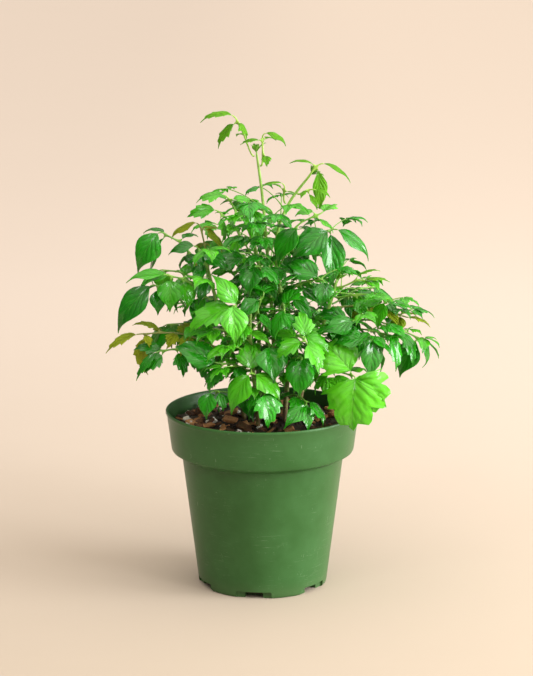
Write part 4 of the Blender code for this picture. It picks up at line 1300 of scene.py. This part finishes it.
@dataclass
class CompoundLeaf:
    """One compound leaf: its branching stalk and all of its leaflets."""

    node: str
    age: LeafAge
    thickness: float = 0.36 * MM
    swell: float = 0.22 * MM
    shapes: tuple[str, ...] = ("drip", "drip", "oval", "toothed")
    lobed: str = "leaf_front_right"
    smooth: tuple[str, ...] = ("leaf_left_far", "leaf_left_low", "leaf_left_middle", "leaf_left_row",
                               "leaf_back_left", "leaf_upper_right", "leaf_right_upper", "leaf_upper_dark",
                               "leaf_west_back")
    serrate: tuple[str, ...] = ("leaf_left_serrate", "leaf_left_young", "leaf_upper_left", "leaf_upper_left_low",
                                "leaf_star")

    def shape_for(self, blade: Blade, longest: float, chance: random.Random) -> str:
        """Which outline suits a leaflet.

        Args:
            blade: The leaflet's blade.
            longest: The length of the leaf's longest blade.
            chance: The leaf's own random source.

        Returns:
            The outline's name.
        """
        if self.node.startswith("leaf_sprig"):
            return "lance"
        if self.age is LeafAge.YOUNG:
            return chance.choice(("toothed", "toothed", "lance"))
        if self.node == self.lobed and blade.length > 0.62 * longest:
            return "lobed"
        if self.node in self.smooth:
            return "drip"
        if self.node in self.serrate:
            return "toothed"
        return chance.choice(self.shapes)

    def neighbour(self, blade: Blade, turn: float = 0.85, share: float = 0.8) -> Blade:
        """A second lobed leaflet that spreads from behind the end one, towards the right.

        Args:
            blade: The end leaflet's blade.
            turn: How far it is turned from the end one, in radians.
            share: Its size as a share of the end one's.

        Returns:
            The second leaflet's blade.
        """
        turns = [Matrix.Rotation(angle, 3, blade.top) for angle in (turn, -turn)]
        swing = max(turns, key=lambda way: (way @ (blade.tip - blade.base)).x)
        start = blade.base - blade.top * 2.5 * MM
        places = (start + swing @ (place - blade.base) * share
                  for place in (blade.base, blade.low, blade.high, blade.tip))
        return Blade(*places, swing @ blade.across * share, blade.top)

    def build(self, stock: BladeStock, materials: Sequence[bpy.types.Material]) -> bpy.types.Object:
        """Lays the leaflets, thickens them and joins them to the rounded stalk.

        Args:
            stock: The patterns of the leaflets.
            materials: The finishes of the upper face, the lower face and the stalk.

        Returns:
            The finished leaf.
        """
        chance = random.Random(self.node)
        bm = merged_copy(self.node)
        blades, spent = read_blades(bm)
        bmesh.ops.delete(bm, geom=spent, context="VERTS")
        stalk = rounded_tube(bm, self.node + "_stalk", self.swell, 2)
        stalk.data.uv_layers.new(name=BLADE_UV)
        tone_mesh(stalk.data, 0.5)
        end_blade = max(blades, key=lambda blade: blade.length)
        leaf_tone = chance.uniform(0.15, 0.85)
        if self.node == self.lobed:
            blades.append(self.neighbour(end_blade))
            # Painted sheen: the lobed leaf's leaflets are pushed to the bright end of the blade colour to stand in for
            # the whitish shine of light on them.
            leaf_tone = 1.3
        elif self.node in self.smooth:
            leaf_tone *= 0.25
        sheets = []
        for blade in blades:
            tone = max(leaf_tone + chance.gauss(0, 0.16), 0.0)
            sheets.append(stock.lay(self.shape_for(blade, end_blade.length, chance), blade, chance, tone))
        leaflets = leaflet_set(self.node + "_blades", sheets, materials, self.thickness)
        dress(stalk, *materials, index=2)
        return finish_piece(joined("compound_" + self.node, [leaflets, stalk]), self.age.value, self.node)


class Foliage:
    """Every compound leaf on the plant, and the finishes of each age."""

    def __init__(self) -> None:
        """Makes the finishes."""
        stalks = {
            LeafAge.MATURE: StalkFinish("stalk_mature", (0.12, 0.33, 0.04), (0.2, 0.44, 0.06)),
            LeafAge.FRESH: StalkFinish("stalk_fresh", (0.16, 0.44, 0.04), (0.28, 0.56, 0.08)),
            LeafAge.YOUNG: StalkFinish("stalk_young", (0.26, 0.54, 0.06), (0.38, 0.62, 0.1)),
            LeafAge.OLIVE: StalkFinish("stalk_olive", (0.2, 0.28, 0.05), (0.33, 0.36, 0.1)),
        }
        self.materials = {finish.age: (*finish.faces(), stalks[finish.age].make()) for finish in BLADE_FINISHES}

    def build(self, stock: BladeStock) -> None:
        """Makes each leaf."""
        for name, slot in sorted(leaf_parts().items()):
            age = LeafAge(slot)
            CompoundLeaf(name, age).build(stock, self.materials[age])


def leaf_parts() -> dict[str, str]:
    """Each leaf node's name and the material slot that the record gives it."""
    ages = {age.value for age in LeafAge}
    parts = {part["node"]: part["material_slot"] for part in frame["record"]["subparts"]}
    return {name: slot for name, slot in parts.items() if slot in ages}


# ------------------------------------------------------------------ stems


@dataclass
class Stem:
    """One stem, brown at its foot and green above, with a shoot at its tip."""

    node: str
    leaflets: int = 6
    swell: float = 0.08 * MM

    def build(self, stock: BladeStock, skin: bpy.types.Material, young: Sequence[bpy.types.Material]) -> None:
        """Rounds the stem and grows the shoot on its tip.

        Args:
            stock: The patterns of the leaflets.
            skin: The stem's finish.
            young: The finishes of a young leaf.
        """
        bm = merged_copy(self.node)
        order = sorted(bm.verts, key=lambda vert: -vert.co.z)
        top = sum((vert.co for vert in order[:6]), Vector()) / 6
        below = sum((vert.co for vert in order[6:18]), Vector()) / 12
        stem = rounded_tube(bm, "round_" + self.node, self.swell, 2)
        dress(stem, skin)
        finish_piece(stem, "stem", self.node)
        sheets = self.shoot(top, (top - below).normalized(), stock)
        finish_piece(leaflet_set("shoot_" + self.node, sheets, young), LeafAge.YOUNG.value)

    def shoot(self, top: Vector, way: Vector, stock: BladeStock) -> list[bpy.types.Object]:
        """A tuft of small unopened leaflets at the stem's tip.

        Args:
            top: The stem's tip.
            way: The direction in which the stem grows there.
            stock: The patterns of the leaflets.

        Returns:
            The leaflets.
        """
        chance = random.Random(self.node)
        side = way.orthogonal().normalized()
        sheets = []
        for number in range(self.leaflets):
            out = Matrix.Rotation(number * 2.4 + chance.uniform(-0.3, 0.3), 3, way) @ side
            lean = 0.25 + 0.75 * number / self.leaflets
            heading = (way * (1.0 - 0.45 * lean) + out * lean).normalized()
            length = (4.5 + 6 * lean) * MM
            base = top - way * 0.8 * MM + out * 0.5 * MM
            lift = way * 0.12 * length
            across = heading.cross(out).normalized()
            inner = heading.cross(across).normalized()
            if inner.dot(way) <= 0:
                inner.negate()
            blade = Blade(base, base + heading * length * 0.25 + lift * 0.6, base + heading * length * 0.6 + lift,
                          base + heading * length, across * length * 0.2, inner)
            sheets.append(stock.lay("lance", blade, chance, chance.uniform(0.5, 1.0)))
        return sheets


@dataclass
class SideLeaves:
    """The many small leaves that fill the plant's middle, growing straight from one stem."""

    node: str
    age: LeafAge
    lowest: float = 0.158
    highest: float = 0.3
    step: float = 7.0 * MM
    reach: tuple[float, float] = (12 * MM, 36 * MM)
    leaflet: tuple[float, float] = (13 * MM, 23 * MM)
    clearance: float = 1.3 * MM
    tries: int = 14
    above_rim: float = 0.146

    def stalk_sites(self) -> list[Vector]:
        """Places spread along a compound leaf's own stalk."""
        bm = merged_copy(self.node)
        spent = read_blades(bm)[1]
        bmesh.ops.delete(bm, geom=spent, context="VERTS")
        found: list[Vector] = []
        for vert in bm.verts:
            if all((vert.co - other).length > self.step for other in found):
                found.append(vert.co.copy())
        bm.free()
        return found

    def sites(self) -> list[Vector]:
        """Places up the stem."""
        bm = merged_copy(self.node)
        levels = sorted((vert.co.copy() for vert in bm.verts), key=lambda place: place.z)
        bm.free()
        found, height = [], max(self.lowest, levels[0].z)
        top = min(self.highest, levels[-1].z)
        while height < top:
            near = sorted(levels, key=lambda place: abs(place.z - height))[:12]
            low = sum(sorted(near, key=lambda place: place.z)[:6], Vector()) / 6
            high = sum(sorted(near, key=lambda place: place.z)[6:], Vector()) / 6
            share = 0.0 if abs(high.z - low.z) < 1e-6 else (height - low.z) / (high.z - low.z)
            found.append(low.lerp(high, min(max(share, 0.0), 1.0)))
            height += self.step
        return found

    def leaflets(self, start: Vector, chance: random.Random) -> tuple[list[Vector], list[Blade]]:
        """Plans one small leaf.

        Args:
            start: Where its stalk begins.
            chance: The random source.

        Returns:
            The stalk's start, middle and end, and the blades beyond its end.
        """
        turn = chance.uniform(0, math.tau)
        out = Vector((math.cos(turn), math.sin(turn), 0.0))
        reach = chance.uniform(*self.reach)
        rise = chance.uniform(0.1, 0.7)
        end = start + out * reach + Vector((0, 0, reach * rise))
        middle = start + out * reach * 0.45 + Vector((0, 0, reach * rise * 0.8))
        ahead = (end - middle).normalized()
        blades = []
        spread = (-1.25, -0.5, 0.25, 1.0) if chance.random() < 0.4 else (-1.05, 0.0, 1.05)
        tilt = chance.uniform(-0.35, 0.35)
        for angle in spread:
            angle += chance.uniform(-0.2, 0.2)
            heading = Matrix.Rotation(angle, 3, "Z") @ ahead
            heading.z = -0.15 - 0.3 * chance.random() + tilt * math.sin(angle)
            heading.normalize()
            length = chance.uniform(*self.leaflet) * (1.0 if abs(angle) < 0.6 else 0.8)
            across = heading.cross(UP).normalized()
            across = (across + UP * chance.uniform(-0.4, 0.4)).normalized()
            up = across.cross(heading).normalized()
            base = end + heading * 1.5 * MM
            low, high, tip = (base + heading * length * share + up * length * lift
                              for share, lift in ((0.25, 0.06), (0.6, 0.06), (1.0, -0.06)))
            blades.append(Blade(base, low, high, tip, across * length * 0.3, up))
        return [start, middle, end], blades

    def clear(self, run: Sequence[Vector], blades: Sequence[Blade], taken: list[BVHTree]) -> bool:
        """Whether a small leaf keeps within the frame and clear of all that has grown before.

        Args:
            run: The stalk's start, middle and end.
            blades: Its blades.
            taken: A search tree for each leaf that stands already.

        Returns:
            True if it does.
        """
        places = [run[-1]]
        for blade in blades:
            for along in (0.25, 0.55, 0.85):
                middle = blade.spine(along)
                width = 0.8 * (1.1 - along)
                places += [middle, middle + blade.across * width, middle - blade.across * width]
            places.append(blade.tip)
        low, high = CAD_BOX
        for place in places:
            inside = all(low[axis] + MM < place[axis] < high[axis] - MM for axis in range(3))
            if not inside or place.z < self.above_rim:
                return False
            if any(tree.find_nearest(place, self.clearance)[0] is not None for tree in taken):
                return False
        return True

    def stalk(self, run: Sequence[Vector]) -> bpy.types.Object:
        """A thin curved stalk drawn through its start, middle and end."""
        start, middle, end = run
        points = []
        for number in range(7):
            share = number / 6
            place = start * (1 - share) ** 2 + middle * 2 * share * (1 - share) + end * share ** 2
            points.append((place, 1.4 - 0.6 * min(share * 3, 1.0)))
        stalk = drawn_tube("small_stalk", 0.5 * MM, 2, points)
        map_blade_uv(stalk)
        tone_mesh(stalk.data, 0.5)
        shade(stalk)
        return stalk

    def build(self, stock: BladeStock, materials: Sequence[bpy.types.Material], taken: list[BVHTree]) -> None:
        """Grows the small leaves wherever there is room for them.

        Args:
            stock: The patterns of the leaflets.
            materials: The finishes of the upper face, the lower face and the stalk.
            taken: A search tree for each leaf that stands already; the new leaflets are added to it.
        """
        chance = random.Random("side " + self.node)
        sheets, stalks = [], []
        for start in self.stalk_sites() if self.node.startswith("leaf") else self.sites():
            for _ in range(self.tries):
                run, blades = self.leaflets(start, chance)
                if not self.clear(run, blades, taken):
                    continue
                grown = [stock.lay(chance.choice(("drip", "oval", "toothed")), blade, chance,
                                   min(max(chance.gauss(0.5, 0.22), 0.0), 1.0)) for blade in blades]
                stalks.append(self.stalk(run))
                taken += [search_tree(bmesh_of(sheet)) for sheet in grown]
                sheets += grown
                break
        if not sheets:
            return
        leaflets = leaflet_set("side_blades", sheets, materials)
        stalk_set = joined("side_stalks", stalks)
        dress(stalk_set, *materials, index=2)
        finish_piece(joined("side_leaves_" + self.node, [leaflets, stalk_set]), self.age.value)


CROWDED_LEAVES = ("leaf_right_far", "leaf_right_far_top", "leaf_right_feathery", "leaf_right_hanging",
                  "leaf_right_inner", "leaf_right_shade", "leaf_right_upper", "leaf_upper_right", "leaf_east_back",
                  "leaf_centre_right")


def leaf_trees() -> list[BVHTree]:
    """A search tree for each leaf of the frame."""
    return [search_tree(merged_copy(name)) for name in leaf_parts()]


# ------------------------------------------------------------------ studio


@dataclass(frozen=True)
class Lamp:
    """One light of the studio; its breadth is a side in metres, or a sun's angle in degrees."""

    name: str
    kind: str
    power: float
    breadth: float
    place: tuple[float, float, float]
    colour: Colour = (1.0, 1.0, 1.0)

    def stand(self, aim: Vector) -> None:
        """Puts the light in its place, aimed at the plant."""
        light = bpy.data.lights.new(self.name, self.kind)
        light.energy, light.color = self.power, self.colour
        if self.kind == "SUN":
            light.angle = math.radians(self.breadth)
        else:
            light.size = self.breadth
        place_aimed(linked(self.name, light), Vector(self.place), aim)


def place_aimed(obj: bpy.types.Object, place: Vector, aim: Vector) -> None:
    """Puts a light or a camera in its place and turns it to look at a point."""
    obj.location = place
    obj.rotation_euler = (aim - place).to_track_quat("-Z", "Y").to_euler()


WARM: Colour = (1.0, 0.97, 0.94)
LAMPS = (
    Lamp("key", "SUN", 0.5, 54.0, (1.4, -0.65, 0.95), WARM),
    Lamp("soft_panel", "AREA", 14.0, 1.8, (3.0, -0.8, 2.4), WARM),
    Lamp("right_box", "AREA", 7.5, 0.38, (1.05, -1.05, 1.25)),
    Lamp("left_box", "AREA", 2.2, 0.3, (-0.75, -1.0, 1.35)),
    Lamp("side_panel", "AREA", 34.0, 0.85, (1.65, -0.4, 0.4)),
)


@dataclass
class Studio:
    """A plain pale sheet, a soft key from the right and a weak fill from the left."""

    sheet_radius: float = 14.0
    far_side: Colour = (0.06, 0.055, 0.05)
    near_side: Colour = (1.0, 0.9, 0.79)
    backdrop: Colour = (0.43, 0.35, 0.29)
    brightest_way: tuple[float, float, float] = (0.28, -0.12, 0.95)
    dim_to_bright: tuple[float, float] = (0.15, 0.95)
    world_strength: float = 2.08
    aim: tuple[float, float, float] = (0.003, 0.0, 0.1967)
    distance: float = 1.8
    elevation: float = 12.26
    lens_mm: float = 122.75

    def floor(self) -> None:
        """The sheet that the pot stands on."""
        deselect_all()
        bpy.ops.mesh.primitive_circle_add(vertices=96, radius=self.sheet_radius, fill_type="NGON", location=(0, 0, 0))
        sheet = named("studio_sheet")
        dress(sheet, PaperFinish().make())

    def room(self) -> None:
        """The even light of the room, brighter from above and the right, and its plain backdrop."""
        world = bpy.data.worlds.new("studio_room")
        bpy.context.scene.world = world
        world.use_nodes = True
        background = world.node_tree.nodes["Background"]
        background.inputs["Strength"].default_value = self.world_strength
        graph = Graph(world.node_tree)
        way = graph.add("TexCoord").outputs["Generated"]
        nearness = graph.add("VectorMath", {0: way, 1: self.brightest_way}, operation="DOT_PRODUCT").outputs["Value"]
        lit = graph.blend(graph.spread(nearness, *self.dim_to_bright), self.far_side, self.near_side)
        seen = graph.add("LightPath").outputs["Is Camera Ray"]
        graph.feed(background.inputs["Color"], graph.blend(seen, lit, self.backdrop))
        bpy.context.scene.view_settings.view_transform = "Standard"

    def camera(self) -> None:
        """The view from the front, a little above the pot's rim."""
        lens = bpy.data.cameras.new("front_view")
        lens.lens, lens.sensor_width = self.lens_mm, 36.0
        camera = linked("front_view", lens)
        tilt = math.radians(self.elevation)
        aim = Vector(self.aim)
        place_aimed(camera, aim + Vector((0, -math.cos(tilt), math.sin(tilt))) * self.distance, aim)
        bpy.context.scene.camera = camera

    def build(self) -> None:
        """Sets up the floor, the room, the lights and the camera."""
        self.floor()
        self.room()
        for lamp in LAMPS:
            lamp.stand(Vector(self.aim))
        self.camera()


def main() -> None:
    """Builds the plant from the pot upwards, then the studio round it."""
    logging.basicConfig(level=logging.INFO, format="%(message)s")
    build_groups()
    NurseryPot().build(PotFinish().make())
    PottingMix().build()
    stock = BladeStock()
    foliage = Foliage()
    foliage.build(stock)
    bark = StemFinish().make()
    taken = leaf_trees()
    ages = (LeafAge.FRESH, LeafAge.MATURE)
    names = sorted(part["node"] for part in frame["record"]["subparts"] if part["material_slot"] == "stem")
    for number, name in enumerate(names):
        Stem(name).build(stock, bark, foliage.materials[LeafAge.YOUNG])
        age = ages[number % 2]
        SideLeaves(name, age).build(stock, foliage.materials[age], taken)
    for number, name in enumerate(CROWDED_LEAVES):
        age = ages[number % 2]
        small = SideLeaves(name, age, step=9 * MM, reach=(5 * MM, 16 * MM), leaflet=(12 * MM, 21 * MM))
        small.build(stock, foliage.materials[age], taken)
    for pattern in stock.patterns.values():
        bpy.data.objects.remove(pattern)
    Studio().build()


if __name__ == "__main__":
    main()
